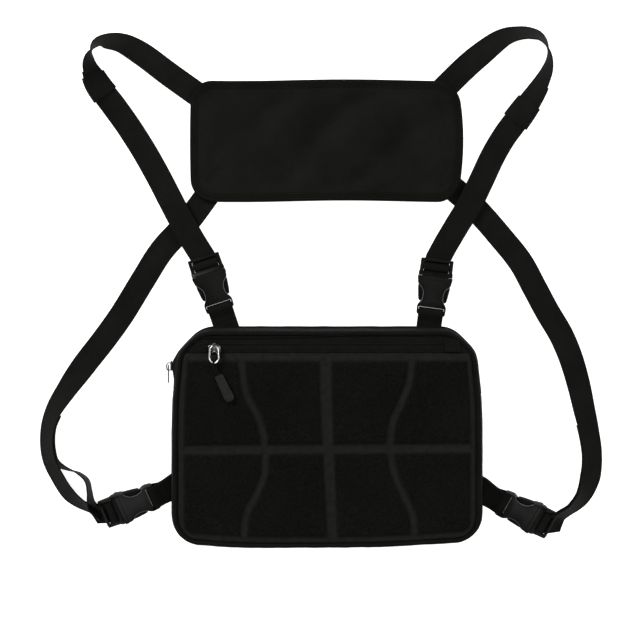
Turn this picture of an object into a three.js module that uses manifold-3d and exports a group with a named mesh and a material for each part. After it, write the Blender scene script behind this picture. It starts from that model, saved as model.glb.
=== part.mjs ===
// A chest pack on an H-shaped webbing harness, laid out flat with its zipped front up.
// Millimetres, +Z up. The origin is the centre of the pack's rear face, which lies on Z = 0.
import * as THREE from "three";
import { mergeVertices } from "three/addons/utils/BufferGeometryUtils.js";
import Module from "manifold-3d";

const wasm = await Module();
wasm.setup();

// ---- driving dimensions ----
const GAP = 0.3; // running and seating gap between separate pieces
const BAG_WIDTH = 311;
const BAG_HEIGHT = 221;
const TOP_CORNER = 39; // radius of the upper corners
const BOTTOM_CORNER = 31; // radius of the lower corners
const BOTTOM_BOW = 5; // how far the lower edge bows down between its corners
const BINDING_WALL = 3; // thickness of the sewn edge rings
const BINDING_HEIGHT = 5;
const GUSSET_INSET = 3; // outer face of the gusset, in from the outline
const GUSSET_WALL = 2.5;
const GUSSET_TOP = 48.9; // sets the depth of the pack
const REAR_MESH = 2.5; // thicknesses of the rear panel's three layers
const REAR_FOAM = 3.6;
const REAR_LINING = 1;
const ZIP_LOW = 24.3; // the main zip's chain, height range on the gusset
const ZIP_WIDTH = 6;
const ZIP_END_LEFT = 50.5; // Y where the main zip ends on each side
const ZIP_END_RIGHT = 45.5;
const DIVIDER_THICKNESS = 1.2;
const POCKET_DEPTH = 7.1; // front pocket, from its divider to the front
const PIPING_INSET = 5; // the front is smaller than the rear
const PIPING_WALL = 4.2;
const PIPING_HEIGHT = 4.2;
const FRAME_WALL = 5; // width of the fabric frame around the moulded front
const FRONT_THICKNESS = 2.7; // frame, zip surround and moulded backing
const FRONT_DROP = 26.1; // from the pack's top to the moulded front's upper edge
const PILE_THICKNESS = 2.8; // loop panel above its backing
const CHANNEL_DEPTH = 1.3;
const CROSS_CHANNEL_Y = -9.3;
const CROSS_CHANNEL_WIDTH = 8.2;
const UPRIGHT_CHANNEL_WIDTH = 9.6;
const CURVED_CHANNEL_WIDTH = 6;
const FRONT_ZIP_LEFT = -118;
const FRONT_ZIP_RIGHT = 117;
const FRONT_ZIP_WIDTH = 7.4;
const FRONT_ZIP_THICKNESS = 1.6;
const END_TAB_LENGTH = 15;
const END_TAB_WIDTH = 11;
const PANEL_WIDTH = 273; // the back panel between the shoulders
const PANEL_HEIGHT = 120.5;
const PANEL_CORNER = 22;
const PANEL_X = -0.7;
const PANEL_Y = 295.8;
const PANEL_SKIN = 1.6;
const PANEL_FOAM = 3;
const WEBBING_WIDTH = 25;
const WEBBING = 1.6; // thickness
const LAYER_STEP = 2; // from the middle of one webbing layer to the next
const STATION_STEP = 12; // spacing of cross-sections along a strap
const ACROSS = 3; // facets across a strap, which let it twist
const KEEPER_LENGTH = 27;
const KEEPER_WALL = 1;
const BUCKLE_THICKNESS = 9.5;
const SOCKET_LENGTH = 38.5; // female half, from the tab bar to the mouth
const BUCKLE_LENGTH = 56;
const SOCKET_HALF_HEIGHT = 3.3;
const RAIL = 3.2; // side rails of the male half and side walls of the socket
const TAB_REACH = 34; // how far a tab runs back towards the pack from the socket's bar
const SLIDER_START = 2; // from the end of the zip to the closed slider
const SLIDER_LENGTH = 12;
const SLIDER_WIDTH = 8;
const SLIDER_HEIGHT = 2.4;
const BAIL_LENGTH = 18;
const BAIL_WIDTH = 11;
const BAIL_WIRE = 1.8;
const CROWN_CLEARANCE = 0.9; // lets the flat bail turn over under the slider's crown
const CORD_DIAMETER = 2;
const GRIP_LENGTH = 28;
const GRIP_WIDTH = 9;
const GRIP_THICKNESS = 3.4;
const DEG = Math.PI / 180;

// ---- values that follow from them ----
const FRONT_Z = GUSSET_TOP + GAP; // where the front's pieces start
const FRAME_INSET = PIPING_INSET + PIPING_WALL + GAP;
const HOLE_INSET = FRAME_INSET + FRAME_WALL + GAP; // what sits inside the frame
const INNER_INSET = GUSSET_INSET + GUSSET_WALL + GAP; // what sits inside the gusset
const BACKING_TOP = FRONT_Z + FRONT_THICKNESS;
const FRONT_EDGE = BAG_HEIGHT / 2 - FRONT_DROP;
const FRONT_ZIP_Y = FRONT_EDGE + GAP + FRONT_ZIP_WIDTH / 2;
const CHAIN_TOP = FRONT_Z + FRONT_ZIP_THICKNESS;
const PILE_TOP = BACKING_TOP + GAP + PILE_THICKNESS; // the front of the pack
const DIVIDER_Z = GUSSET_TOP - POCKET_DEPTH - DIVIDER_THICKNESS;
const SLOT_HALF = WEBBING_WIDTH / 2 + 2 * GAP;
const MOUTH_HALF = SLOT_HALF + RAIL + 0.7;
const CAVITY_HALF = MOUTH_HALF - RAIL; // half the width inside the socket

// ---- solids: three.js geometry in and out of manifold-3d ----
function toSolid(geometry) {
  const bare = geometry.index ? geometry.toNonIndexed() : geometry.clone();
  bare.deleteAttribute("normal");
  bare.deleteAttribute("uv");
  const merged = mergeVertices(bare, 1e-4);
  return new wasm.Manifold(
    new wasm.Mesh({
      numProp: 3,
      vertProperties: merged.attributes.position.array,
      triVerts: new Uint32Array(merged.index.array),
    }),
  );
}

function toGeometry(solid) {
  const mesh = solid.getMesh();
  const geometry = new THREE.BufferGeometry();
  geometry.setAttribute("position", new THREE.BufferAttribute(mesh.vertProperties, 3));
  geometry.setIndex(new THREE.BufferAttribute(mesh.triVerts, 1));
  geometry.computeVertexNormals();
  return geometry;
}

function block(x0, x1, y0, y1, z0, z1) {
  const box = new THREE.BoxGeometry(x1 - x0, y1 - y0, z1 - z0);
  return toSolid(box.translate((x0 + x1) / 2, (y0 + y1) / 2, (z0 + z1) / 2));
}

function slab(shape, z0, z1, curveSegments = 5) {
  const depth = z1 - z0;
  const plate = new THREE.ExtrudeGeometry(shape, { depth, bevelEnabled: false, curveSegments });
  return toSolid(plate.translate(0, 0, z0));
}

const joinAll = (solids) => solids.reduce((sum, solid) => sum.add(solid));

// ---- outlines ----
function bagOutline(inset) {
  const x = BAG_WIDTH / 2 - inset;
  const top = BAG_HEIGHT / 2 - inset;
  const bottom = -BAG_HEIGHT / 2 + BOTTOM_BOW + inset;
  const upper = TOP_CORNER - inset;
  const lower = BOTTOM_CORNER - inset;
  const shape = new THREE.Shape();
  shape.moveTo(-x, bottom + lower);
  shape.absarc(-x + lower, bottom + lower, lower, 180 * DEG, 270 * DEG);
  shape.quadraticCurveTo(0, bottom - 2 * BOTTOM_BOW, x - lower, bottom);
  shape.absarc(x - lower, bottom + lower, lower, -90 * DEG, 0);
  shape.absarc(x - upper, top - upper, upper, 0, 90 * DEG);
  shape.absarc(-x + upper, top - upper, upper, 90 * DEG, 180 * DEG);
  return shape;
}

function panelOutline(inset) {
  const x = PANEL_WIDTH / 2 - inset;
  const y = PANEL_HEIGHT / 2 - inset;
  const r = PANEL_CORNER - inset;
  const shape = new THREE.Shape();
  shape.absarc(PANEL_X - x + r, PANEL_Y - y + r, r, 180 * DEG, 270 * DEG);
  shape.absarc(PANEL_X + x - r, PANEL_Y - y + r, r, 270 * DEG, 360 * DEG);
  shape.absarc(PANEL_X + x - r, PANEL_Y + y - r, r, 0, 90 * DEG);
  shape.absarc(PANEL_X - x + r, PANEL_Y + y - r, r, 90 * DEG, 180 * DEG);
  return shape;
}

function ring(outline, outer, wall, z0, z1) {
  return slab(outline(outer), z0, z1).subtract(slab(outline(outer + wall), z0 - 1, z1 + 1));
}

// The part of the pack above the main zip's two ends, drawn in by a margin.
function aboveZipEnds(margin) {
  const reach = BAG_WIDTH;
  const left = block(-reach, 0, ZIP_END_LEFT + margin, reach, -reach, reach);
  return left.add(block(-1, reach, ZIP_END_RIGHT + margin, reach, -reach, reach));
}

// ---- webbing: a flat band through cross-sections {p, w}, p its centre and w across it ----
function band(frames, width = WEBBING_WIDTH, thickness = WEBBING) {
  const box = new THREE.BoxGeometry(1, 1, 1, frames.length - 1, ACROSS, 1);
  const at = box.attributes.position;
  for (let i = 0; i < at.count; i++) {
    const frame = frames[Math.round((at.getX(i) + 0.5) * (frames.length - 1))];
    const point = frame.p.clone();
    point.addScaledVector(frame.w, at.getY(i) * width);
    point.addScaledVector(frame.n, at.getZ(i) * thickness);
    at.setXYZ(i, point.x, point.y, point.z);
  }
  return toSolid(box);
}

// Gives each cross-section its normal, from the run of the centre line past it.
function withNormals(frames) {
  return frames.map(({ p, w }, i) => {
    const before = frames[Math.max(i - 1, 0)].p;
    const after = frames[Math.min(i + 1, frames.length - 1)].p;
    const along = after.clone().sub(before).normalize();
    const across = w.clone().addScaledVector(along, -w.dot(along)).normalize();
    return { p, w: across, n: along.cross(across).normalize() };
  });
}

// Cross-sections of a band lying on the ground, from stations [x, y, lift, roll in degrees].
// A rolled band stands on its lower edge, so its centre rises with the roll.
function groundRun(stations) {
  const points = stations.map(([x, y, lift, roll]) => {
    const rise = (WEBBING_WIDTH / 2) * Math.abs(Math.sin(roll * DEG));
    return new THREE.Vector3(x, y, lift + rise);
  });
  const path = new THREE.CatmullRomCurve3(points, false, "centripetal");
  const count = Math.round(path.getLength() / STATION_STEP);
  const frames = [];
  for (let i = 0; i <= count; i++) {
    const t = path.getUtoTmapping(i / count);
    const at = t * (stations.length - 1);
    const k = Math.min(Math.floor(at), stations.length - 2);
    const roll = THREE.MathUtils.lerp(stations[k][3], stations[k + 1][3], at - k) * DEG;
    const along = path.getTangent(t).setZ(0).normalize();
    const side = new THREE.Vector3(-along.y, along.x, 0).multiplyScalar(Math.cos(roll));
    frames.push({ p: path.getPoint(t), w: side.setZ(Math.sin(roll)) });
  }
  return frames;
}

const layered = (frames, step) =>
  frames.map(({ p, w, n }) => ({ p: p.clone().addScaledVector(n, step), w, n }));

// ---- buckles ----
// Each stands at the middle of its tab bar, with local X out along the strap, Y across, Z up.
// heading turns it about the vertical, and tilt rolls it about its own length.
const bagX = BAG_WIDTH / 2;
const bagY = BAG_HEIGHT / 2;
const buckles = {
  left_shoulder: { at: [-106, bagY + 16, 7.1], heading: 108.4, tilt: 0, flipped: true },
  right_shoulder: { at: [103, bagY + 11, 7.1], heading: 82.6, tilt: 0, flipped: true },
  left_side: { at: [-bagX - 14.5, -57.5, 14.6], heading: 200.4, tilt: -28, flipped: false },
  right_side: { at: [bagX + 17, -64, 14.6], heading: -25.6, tilt: 28, flipped: false },
};

// The harness was laid out round a pack and back panel of these sizes.
const LAID_BAG = [311, 221];
const LAID_PANEL = [273, 120.5];
const LAID_WEBBING = 25;

// How far each end of a strap has moved since, with the pack or the panel that it runs to.
function endShifts(name) {
  const across = name.startsWith("left") ? -0.5 : 0.5;
  const shoulder = name.endsWith("shoulder");
  const upright = shoulder ? 0.5 : -0.5;
  const start = [
    across * (PANEL_WIDTH - LAID_PANEL[0]),
    upright * (PANEL_HEIGHT - LAID_PANEL[1]),
  ];
  const wider = across * (BAG_WIDTH - LAID_BAG[0]);
  const end = shoulder ? [0, (BAG_HEIGHT - LAID_BAG[1]) / 2] : [wider, 0];
  return { start, end };
}

function laidOut(name, list) {
  const { start, end } = endShifts(name);
  const wider = (WEBBING_WIDTH - LAID_WEBBING) / 2;
  return list.map(([x, y, lift, roll], i) => {
    const t = list === stations[name] ? i / (list.length - 1) : 1;
    const shift = [0, 1].map((k) => THREE.MathUtils.lerp(start[k], end[k], t));
    const atBuckle = list === stations[name] && i === list.length - 1;
    const sink = atBuckle ? Math.abs(Math.sin(roll * DEG)) * wider : 0;
    return [x + shift[0], y + shift[1], lift - sink, roll];
  });
}

function placed(name) {
  const { at, heading, tilt } = buckles[name];
  const group = new THREE.Group();
  group.position.set(...at);
  group.rotation.set(tilt * DEG, 0, heading * DEG, "ZYX");
  group.updateMatrixWorld(true);
  return group;
}

// The band's way through the ladder lock: under the outer bar, up through the slot, over the
// middle bar, and back out beneath as the loose tail.
const threading = [
  [58, -2.9],
  [55.5, -2.7],
  [52.5, -1.6],
  [50.9, 1],
  [49.2, 2.9],
  [47.3, 3.2],
  [45, 2.6],
  [43.9, 0.8],
  [43.9, -1.2],
  [45.2, -3.3],
  [47.5, -4.3],
  [51, -4.8],
  [55, -4.9],
  [58, -4.9],
];

function threaded(name) {
  const group = placed(name);
  const w = new THREE.Vector3(0, buckles[name].flipped ? 1 : -1, 0);
  w.applyQuaternion(group.quaternion);
  return threading.map(([x, z]) => ({ p: group.localToWorld(new THREE.Vector3(x, 0, z)), w }));
}

function socketSolid() {
  const half = [
    [0, SLOT_HALF + 1.9],
    [9, SLOT_HALF + 1.9],
    [12.5, CAVITY_HALF - 1.6],
    [16, CAVITY_HALF - 3.2],
    [22, CAVITY_HALF - 3.2],
    [26, CAVITY_HALF - 2],
    [30.6, CAVITY_HALF - 0.8],
    [30.8, MOUTH_HALF - 0.5],
    [SOCKET_LENGTH, MOUTH_HALF],
  ].map(([x, y]) => new THREE.Vector2(x, y));
  const mirrored = half.map(({ x, y }) => new THREE.Vector2(x, -y)).reverse();
  const height = BUCKLE_THICKNESS / 2;
  const body = slab(new THREE.Shape([...half, ...mirrored].reverse()), -height, height);
  const tabSlot = block(4, 8.8, -SLOT_HALF, SLOT_HALF, -height - 1, height + 1);
  const within = [-SOCKET_HALF_HEIGHT, SOCKET_HALF_HEIGHT];
  const cavity = block(11.6, SOCKET_LENGTH + 1, -CAVITY_HALF, CAVITY_HALF, ...within);
  const barTrim = block(-1, 4, -SLOT_HALF, SLOT_HALF, 2, height + 1);
  const barTrimBelow = block(-1, 4, -SLOT_HALF, SLOT_HALF, -height - 1, -2);
  return body.subtract(joinAll([tabSlot, cavity, barTrim, barTrimBelow]));
}

function ladderLockSolid() {
  const rail = SLOT_HALF + RAIL;
  const start = SOCKET_LENGTH + GAP;
  return joinAll([
    block(start, 42, -MOUTH_HALF, MOUTH_HALF, -4.2, 4.2),
    block(41, BUCKLE_LENGTH, SLOT_HALF, rail, -2, 2),
    block(41, BUCKLE_LENGTH, -rail, -SLOT_HALF, -2, 2),
    block(45.8, 48.8, -rail + 1, rail - 1, -1.5, 1.5),
    block(53.4, BUCKLE_LENGTH, -rail + 1, rail - 1, -0.6, 1.8),
    block(16, start + 1, -2.2, 2.2, -1.6, 1.6),
  ]);
}

// One latch arm, on the +Y side of the buckle, with its ear standing in the socket's window.
function armSolid() {
  const shape = new THREE.Shape();
  const root = SOCKET_LENGTH;
  shape.moveTo(root, CAVITY_HALF - 6.4);
  shape.lineTo(root, CAVITY_HALF - 3.6);
  shape.lineTo(31.2, CAVITY_HALF - 1.4);
  shape.lineTo(30.2, CAVITY_HALF - 0.6);
  shape.lineTo(30, MOUTH_HALF - 0.8);
  shape.quadraticCurveTo(23, MOUTH_HALF + 1.4, 16.5, MOUTH_HALF - 1.4);
  shape.lineTo(14.4, CAVITY_HALF - 3.4);
  shape.lineTo(17, CAVITY_HALF - 4.8);
  shape.lineTo(30, CAVITY_HALF - 4.8);
  const height = SOCKET_HALF_HEIGHT - GAP;
  return slab(shape, -height, height, 4);
}

// The webbing loop that holds a socket to the pack: two layers that part around its bar.
function tabFrames(name) {
  const group = placed(name);
  const loop = [
    [-TAB_REACH, 1],
    [-7, 1],
    [-2.5, 2.4],
    [1, 3.3],
    [4.6, 2.9],
    [6.4, 0],
    [4.6, -2.9],
    [1, -3.3],
    [-2.5, -2.4],
    [-7, -1],
    [-TAB_REACH, -1],
  ];
  const w = new THREE.Vector3(0, 1, 0).applyQuaternion(group.quaternion);
  return withNormals(
    loop.map(([x, z]) => ({ p: group.localToWorld(new THREE.Vector3(x, 0, z)), w })),
  );
}

function tabSolid(name) {
  const wall = slab(bagOutline(GUSSET_INSET - GAP), BINDING_HEIGHT, FRONT_Z);
  const edge = slab(bagOutline(-GAP), -1, BINDING_HEIGHT + GAP);
  const cut = band(tabFrames(name)).subtract(wall.add(edge));
  const pieces = cut.decompose();
  return pieces.sort((a, b) => b.volume() - a.volume())[0];
}

// ---- straps: stations [x, y, lift, roll] from the back panel down to the buckle ----
const stations = {
  left_shoulder: [
    [-124, 338, 0.9, 0],
    [-157, 361.5, 0.9, 0],
    [-187, 383.5, 0.9, 14],
    [-205.5, 393.2, 0.9, 34],
    [-218, 395.2, 0.9, 52],
    [-229, 394.5, 0.9, 66],
    [-235.5, 389, 0.9, 78],
    [-238, 380, 0.9, 100],
    [-237, 371, 2, 118],
    [-233.5, 362.5, 3.2, 133],
    [-228.5, 351.5, 3.6, 148],
    [-214, 328, 3.6, 172],
    [-201.5, 309, 3.6, 180],
    [-186, 283.5, 3.6, 180],
    [-172.5, 260, 4.4, 180],
    [-159.5, 236, 5.7, 180],
    [-146, 213, 5.9, 180],
    [-133.5, 194, 4.9, 180],
  ],
  right_shoulder: [
    [112, 343, 0.9, 0],
    [136.5, 368.5, 0.9, 0],
    [152, 380.5, 0.9, -12],
    [176.3, 397, 0.9, -38],
    [189.5, 402, 0.9, -50],
    [201.4, 403.5, 0.9, -60],
    [211.6, 401, 0.9, -70],
    [219, 393, 0.9, -84],
    [221.8, 380, 1.4, -98],
    [219, 366, 2.4, -112],
    [210.5, 350.5, 3.2, -130],
    [201.5, 336.5, 3.6, -146],
    [190.5, 318.5, 3.6, -166],
    [178.5, 299.5, 3.6, -178],
    [167, 280.5, 3.6, -180],
    [155.5, 256.5, 5.2, -180],
    [144.5, 232.5, 6, -180],
    [130, 209.5, 5.8, -180],
    [117.5, 193, 4.9, -180],
  ],
  left_side: [
    [-114, 249, 0.9, 0],
    [-141, 214.5, 0.9, 0],
    [-164, 185, 0.9, 0],
    [-183.5, 156, 0.9, 0],
    [-205.5, 122, 0.9, 0],
    [-222, 97, 0.9, 4],
    [-241.5, 70, 1.4, 16],
    [-258, 46.5, 2.4, 32],
    [-271.5, 24, 3.2, 46],
    [-277, 0, 3.4, 55],
    [-275, -21.5, 3.4, 64],
    [-268, -41, 3, 74],
    [-256, -57, 2.2, 86],
    [-243, -70, 2, 80],
    [-232.5, -78.5, 5.5, 44],
  ],
  right_side: [
    [117, 256, 0.9, 0],
    [145, 228, 0.9, 0],
    [172.5, 197, 0.9, 0],
    [191.5, 173, 0.9, 0],
    [205, 149, 0.9, 0],
    [217.5, 124, 0.9, 0],
    [234, 100, 1.4, -4],
    [242, 76, 2.8, -10],
    [250, 52, 3.4, -18],
    [255.5, 28, 3.6, -28],
    [259.5, 4, 3.6, -38],
    [260.5, -18, 3.6, -48],
    [259, -39.5, 3.4, -60],
    [253.5, -61, 2.6, -76],
    [244, -80, 2.2, -76],
    [233.5, -91, 5.5, -42],
  ],
};

// The left side strap's loose tail stands away from the strap and comes back under it.
const leftSideTail = [
  [-231.8, -77, 2.6, 44],
  [-235.5, -67, 1.4, 72],
  [-235.5, -55, 1.2, 84],
  [-237, -43, 1.2, 90],
  [-245, -34.5, 1.2, 90],
  [-256, -31, 1.2, 84],
  [-265, -22, 1.2, 72],
  [-269.5, -8, 1.2, 62],
  [-270.2, 6, 1.2, 54],
  [-264.5, 24, 1.2, 44],
];

const tailLengths = { left_shoulder: 205, right_shoulder: 190, right_side: 110 };
const keeperSpots = { left_shoulder: [-228.5, 351.5], right_shoulder: [194, 324] };

// All cross-sections of one strap: the main run, the ladder lock and the tail beneath it.
function strapFrames(name) {
  const main = groundRun(laidOut(name, stations[name]));
  const wrap = threaded(name);
  const there = withNormals([...main, ...wrap]);
  const run = there.slice(0, main.length);
  if (name === "left_side") {
    const tail = groundRun(laidOut(name, leftSideTail)).map(({ p, w }) => ({ p, w: w.negate() }));
    return { run, all: withNormals([...main, ...wrap, ...tail]) };
  }
  const side = buckles[name].flipped ? 1 : -1;
  const steps = Math.round(tailLengths[name] / STATION_STEP);
  const beneath = layered(run.slice(-steps), side * LAYER_STEP).reverse();
  const tail = beneath.map(({ p, w, n }) => ({ p, w, n: n.clone().negate() }));
  return { run, all: [...there, ...tail] };
}

function strapSolid(name) {
  const panel = slab(panelOutline(-GAP), -5, 30);
  return band(strapFrames(name).all).subtract(panel);
}

// A woven sleeve around the strap and its tail.
function keeperSolid(name) {
  const [x, y] = keeperSpots[name];
  const { run } = strapFrames(name);
  const middle = layered(run, LAYER_STEP / 2);
  const away = (frame) => Math.hypot(frame.p.x - x, frame.p.y - y);
  const at = middle.indexOf(middle.reduce((a, b) => (away(a) < away(b) ? a : b)));
  const reach = Math.round(KEEPER_LENGTH / 2 / STATION_STEP);
  const stack = WEBBING + LAYER_STEP + 4 * GAP;
  const clear = WEBBING_WIDTH + 4 * GAP;
  const outer = middle.slice(at - reach, at + reach + 1);
  const bore = middle.slice(at - reach - 1, at + reach + 2);
  const skin = 2 * KEEPER_WALL;
  return band(outer, clear + skin, stack + skin).subtract(band(bore, clear, stack));
}

// ---- the moulded front with its pressed channels ----
function channel(points, widths, depthFrom) {
  const path = new THREE.SplineCurve(points.map(([x, y]) => new THREE.Vector2(x, y)));
  const count = 2 * points.length;
  const left = [];
  const right = [];
  for (let i = 0; i <= count; i++) {
    const t = i / count;
    const p = path.getPoint(t);
    const along = path.getTangent(t);
    const half = THREE.MathUtils.lerp(widths[0], widths[1], t) / 2;
    left.push(new THREE.Vector2(p.x - along.y * half, p.y + along.x * half));
    right.unshift(new THREE.Vector2(p.x + along.y * half, p.y - along.x * half));
  }
  return slab(new THREE.Shape([...left, ...right]), depthFrom, PILE_TOP + 5);
}

function loopPanelSolid() {
  const floor = PILE_TOP - CHANNEL_DEPTH;
  const trim = block(-BAG_WIDTH, BAG_WIDTH, -BAG_HEIGHT, FRONT_EDGE - 2 * GAP, 0, PILE_TOP + 9);
  const face = slab(bagOutline(HOLE_INSET + GAP), BACKING_TOP + GAP, PILE_TOP).intersect(trim);
  const half = CROSS_CHANNEL_WIDTH / 2;
  const across = [CROSS_CHANNEL_Y - half, CROSS_CHANNEL_Y + half];
  const cross = block(-BAG_WIDTH, BAG_WIDTH, ...across, floor, PILE_TOP + 5);
  const width = [CURVED_CHANNEL_WIDTH, CURVED_CHANNEL_WIDTH];
  const waist = [
    [85, 92],
    [80.5, 54],
    [69.5, 27],
    [63, 6],
    [61.5, -17],
    [66, -40],
    [78, -68],
    [84, -110],
  ];
  const leftWaist = waist.map(([x, y]) => [-x, y]);
  const upright = [
    [-1.6, 92],
    [1, -10],
    [5, -110],
  ];
  return [
    cross,
    channel(upright, [UPRIGHT_CHANNEL_WIDTH, UPRIGHT_CHANNEL_WIDTH], floor),
    channel(waist, width, floor),
    channel(leftWaist, width, floor),
  ].reduce((solid, cut) => solid.subtract(cut), face);
}

function insideFrame(inset, z0, z1) {
  return slab(bagOutline(HOLE_INSET + inset), z0, z1);
}

function backingSolid() {
  const below = block(-BAG_WIDTH, BAG_WIDTH, -BAG_HEIGHT, FRONT_EDGE, 0, PILE_TOP);
  return insideFrame(0, FRONT_Z, BACKING_TOP).intersect(below);
}

function zipSurroundSolid() {
  const above = block(-BAG_WIDTH, BAG_WIDTH, FRONT_EDGE + GAP, BAG_HEIGHT, 0, PILE_TOP);
  const low = FRONT_EDGE;
  const high = FRONT_ZIP_Y + FRONT_ZIP_WIDTH / 2 + GAP;
  const slit = block(FRONT_ZIP_LEFT - GAP, FRONT_ZIP_RIGHT + GAP, low, high, 0, PILE_TOP);
  return insideFrame(0, FRONT_Z, BACKING_TOP).intersect(above).subtract(slit);
}

// ---- sliders and pulls ----
const FRONT_SLIDER_X = FRONT_ZIP_LEFT + SLIDER_START + SLIDER_LENGTH / 2;
const SLIDER_BASE = BACKING_TOP + GAP; // the slider's plate rides above its slit's edges
const BAIL_Y = FRONT_ZIP_Y + 2.6; // where the bail's end bar lies
const PULL_Z = PILE_TOP + GAP + CORD_DIAMETER + BAIL_WIRE / 2 + 3 * GAP; // the cord passes beneath

const GRIP_TOP = -BAIL_LENGTH - 12; // where the grip starts, from the crown
const GRIP_DROP = -1.3; // the grip rests lower than the bail

function frontSliderSolid() {
  const x = FRONT_SLIDER_X;
  const y = FRONT_ZIP_Y;
  const halfX = SLIDER_LENGTH / 2;
  const halfY = SLIDER_WIDTH / 2;
  const top = SLIDER_BASE + SLIDER_HEIGHT;
  const crown = 1.4; // thickness of the crown's strip
  const roof = PULL_Z + BAIL_WIRE / 2 + CROWN_CLEARANCE;
  const stem = block(x - 1.2, x + 1.2, y - 1, y + 1, CHAIN_TOP + GAP, SLIDER_BASE + 1);
  return joinAll([
    block(x - halfX, x + halfX, y - halfY, y + halfY, SLIDER_BASE, top),
    stem,
    block(x - 1.6, x + 1.6, y - halfY, y - halfY + crown, top - 1, roof + crown),
    block(x - 1.6, x + 1.6, y + halfY + 1, y + halfY + 1 + crown, SLIDER_BASE, roof + crown),
    block(x - 1.6, x + 1.6, y + halfY - 1, y + halfY + 1.4, SLIDER_BASE, top),
    block(x - 1.6, x + 1.6, y - halfY, y + halfY + 1 + crown, roof, roof + crown),
  ]);
}

function roundedBar(width, length, end) {
  const shape = new THREE.Shape();
  const x = width / 2;
  shape.absarc(0, -end, x, 0, 180 * DEG);
  shape.absarc(0, -length + end, x, 180 * DEG, 360 * DEG);
  return shape;
}

// The bail hangs from the crown, drawn along -Y from its end bar.
function bailSolid() {
  const z = BAIL_WIRE / 2;
  const wire = BAIL_WIRE;
  const outer = roundedBar(BAIL_WIDTH, BAIL_LENGTH, BAIL_WIDTH / 2);
  const holeWidth = BAIL_WIDTH - 2 * wire;
  const hole = roundedBar(holeWidth, BAIL_LENGTH - 2 * wire, holeWidth / 2);
  const inner = slab(hole, -z - 1, z + 1).translate([0, -wire, 0]);
  return slab(outer, -z, z).subtract(inner).translate([0, wire / 2, 0]);
}

function cordSolid() {
  const r = CORD_DIAMETER / 2;
  const bar = -BAIL_LENGTH + BAIL_WIRE; // middle of the end that the cord loops round
  const over = BAIL_WIRE / 2 + r + 2 * GAP;
  const route = [
    [-1.3, GRIP_TOP, GRIP_DROP],
    [-1.3, bar - 4.5, 0.4],
    [-1.1, bar, over],
    [-0.6, bar + 2.6, over / 2],
    [0, bar + 3.3, 0],
    [0.6, bar + 2.6, -over / 2],
    [1.1, bar, -over],
    [1.3, bar - 4.5, -over + 0.2],
    [1.3, GRIP_TOP, GRIP_DROP],
  ];
  const path = new THREE.CatmullRomCurve3(route.map((at) => new THREE.Vector3(...at)));
  const section = new THREE.Shape();
  section.absarc(0, 0, r, 0, 360 * DEG);
  const steps = 22;
  const tube = { steps, extrudePath: path, curveSegments: 4, bevelEnabled: false };
  return toSolid(new THREE.ExtrudeGeometry(section, tube));
}

function gripSolid() {
  const z = GRIP_THICKNESS / 2;
  const shape = new THREE.Shape();
  shape.moveTo(-GRIP_WIDTH / 2 + 1, 0);
  shape.lineTo(-GRIP_WIDTH / 2, -GRIP_LENGTH + GRIP_WIDTH / 2);
  shape.absarc(0, -GRIP_LENGTH + GRIP_WIDTH / 2, GRIP_WIDTH / 2, 180 * DEG, 360 * DEG);
  shape.lineTo(GRIP_WIDTH / 2 - 1, 0);
  return slab(shape, -z, z);
}

// The main zip's slider sits outside the gusset's upper left corner, where the curve starts.
const MAIN_SLIDER_Y = BAG_HEIGHT / 2 - TOP_CORNER;
const ZIP_MIDDLE = ZIP_LOW + ZIP_WIDTH / 2;
const MAIN_SLIDER_X = -BAG_WIDTH / 2 + GUSSET_INSET - GAP;
const MAIN_PULL_X = MAIN_SLIDER_X - 3.8;

function mainSliderSolid() {
  const half = ZIP_WIDTH / 2 + 0.6;
  const [low, high] = [ZIP_MIDDLE - half, ZIP_MIDDLE + half];
  const y = MAIN_SLIDER_Y;
  const x = MAIN_SLIDER_X;
  return joinAll([
    block(x - 2, x, y - 5, y + 5, low, high),
    block(x - 6, x - 1, y - 5, y - 3.6, ZIP_MIDDLE - 1, ZIP_MIDDLE + 1),
    block(x - 6, x - 1, y + 1.6, y + 3, ZIP_MIDDLE - 1, ZIP_MIDDLE + 1),
    block(x - 6, x - 5, y - 5, y + 3, ZIP_MIDDLE - 1, ZIP_MIDDLE + 1),
  ]);
}

function mainPullSolid() {
  const y = MAIN_SLIDER_Y;
  const x = MAIN_PULL_X;
  const plate = block(x - 0.7, x + 0.7, y - 17, y + 0.7, ZIP_MIDDLE - 2.6, ZIP_MIDDLE + 2.6);
  return plate.subtract(block(x - 2, x + 2, y - 7, y - 0.7, ZIP_MIDDLE - 1.4, ZIP_MIDDLE + 1.4));
}

// ---- materials ----
const cordura = { color: 0x1b1b1c, roughness: 0.85, metalness: 0 };
const webbing = { color: 0x171718, roughness: 0.7, metalness: 0 };
const acetal = { color: 0x1d1d1f, roughness: 0.45, metalness: 0 };
const loopPile = { color: 0x0f0f10, roughness: 1, metalness: 0 };
const foam = { color: 0x2b2b2d, roughness: 1, metalness: 0 };
const moulded = { color: 0x262628, roughness: 0.75, metalness: 0 };
const spacerMesh = { color: 0x161617, roughness: 0.9, metalness: 0 };
const coil = { color: 0x141415, roughness: 0.6, metalness: 0 };
const nickel = { color: 0xc4c4c2, roughness: 0.3, metalness: 1 };
const rubber = { color: 0x333334, roughness: 0.7, metalness: 0 };

const chestPack = new THREE.Group();

function addNode(name, solid, look, parent = chestPack) {
  const mesh = new THREE.Mesh(toGeometry(solid), new THREE.MeshStandardMaterial(look));
  mesh.name = name;
  parent.add(mesh);
  return mesh;
}

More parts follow.
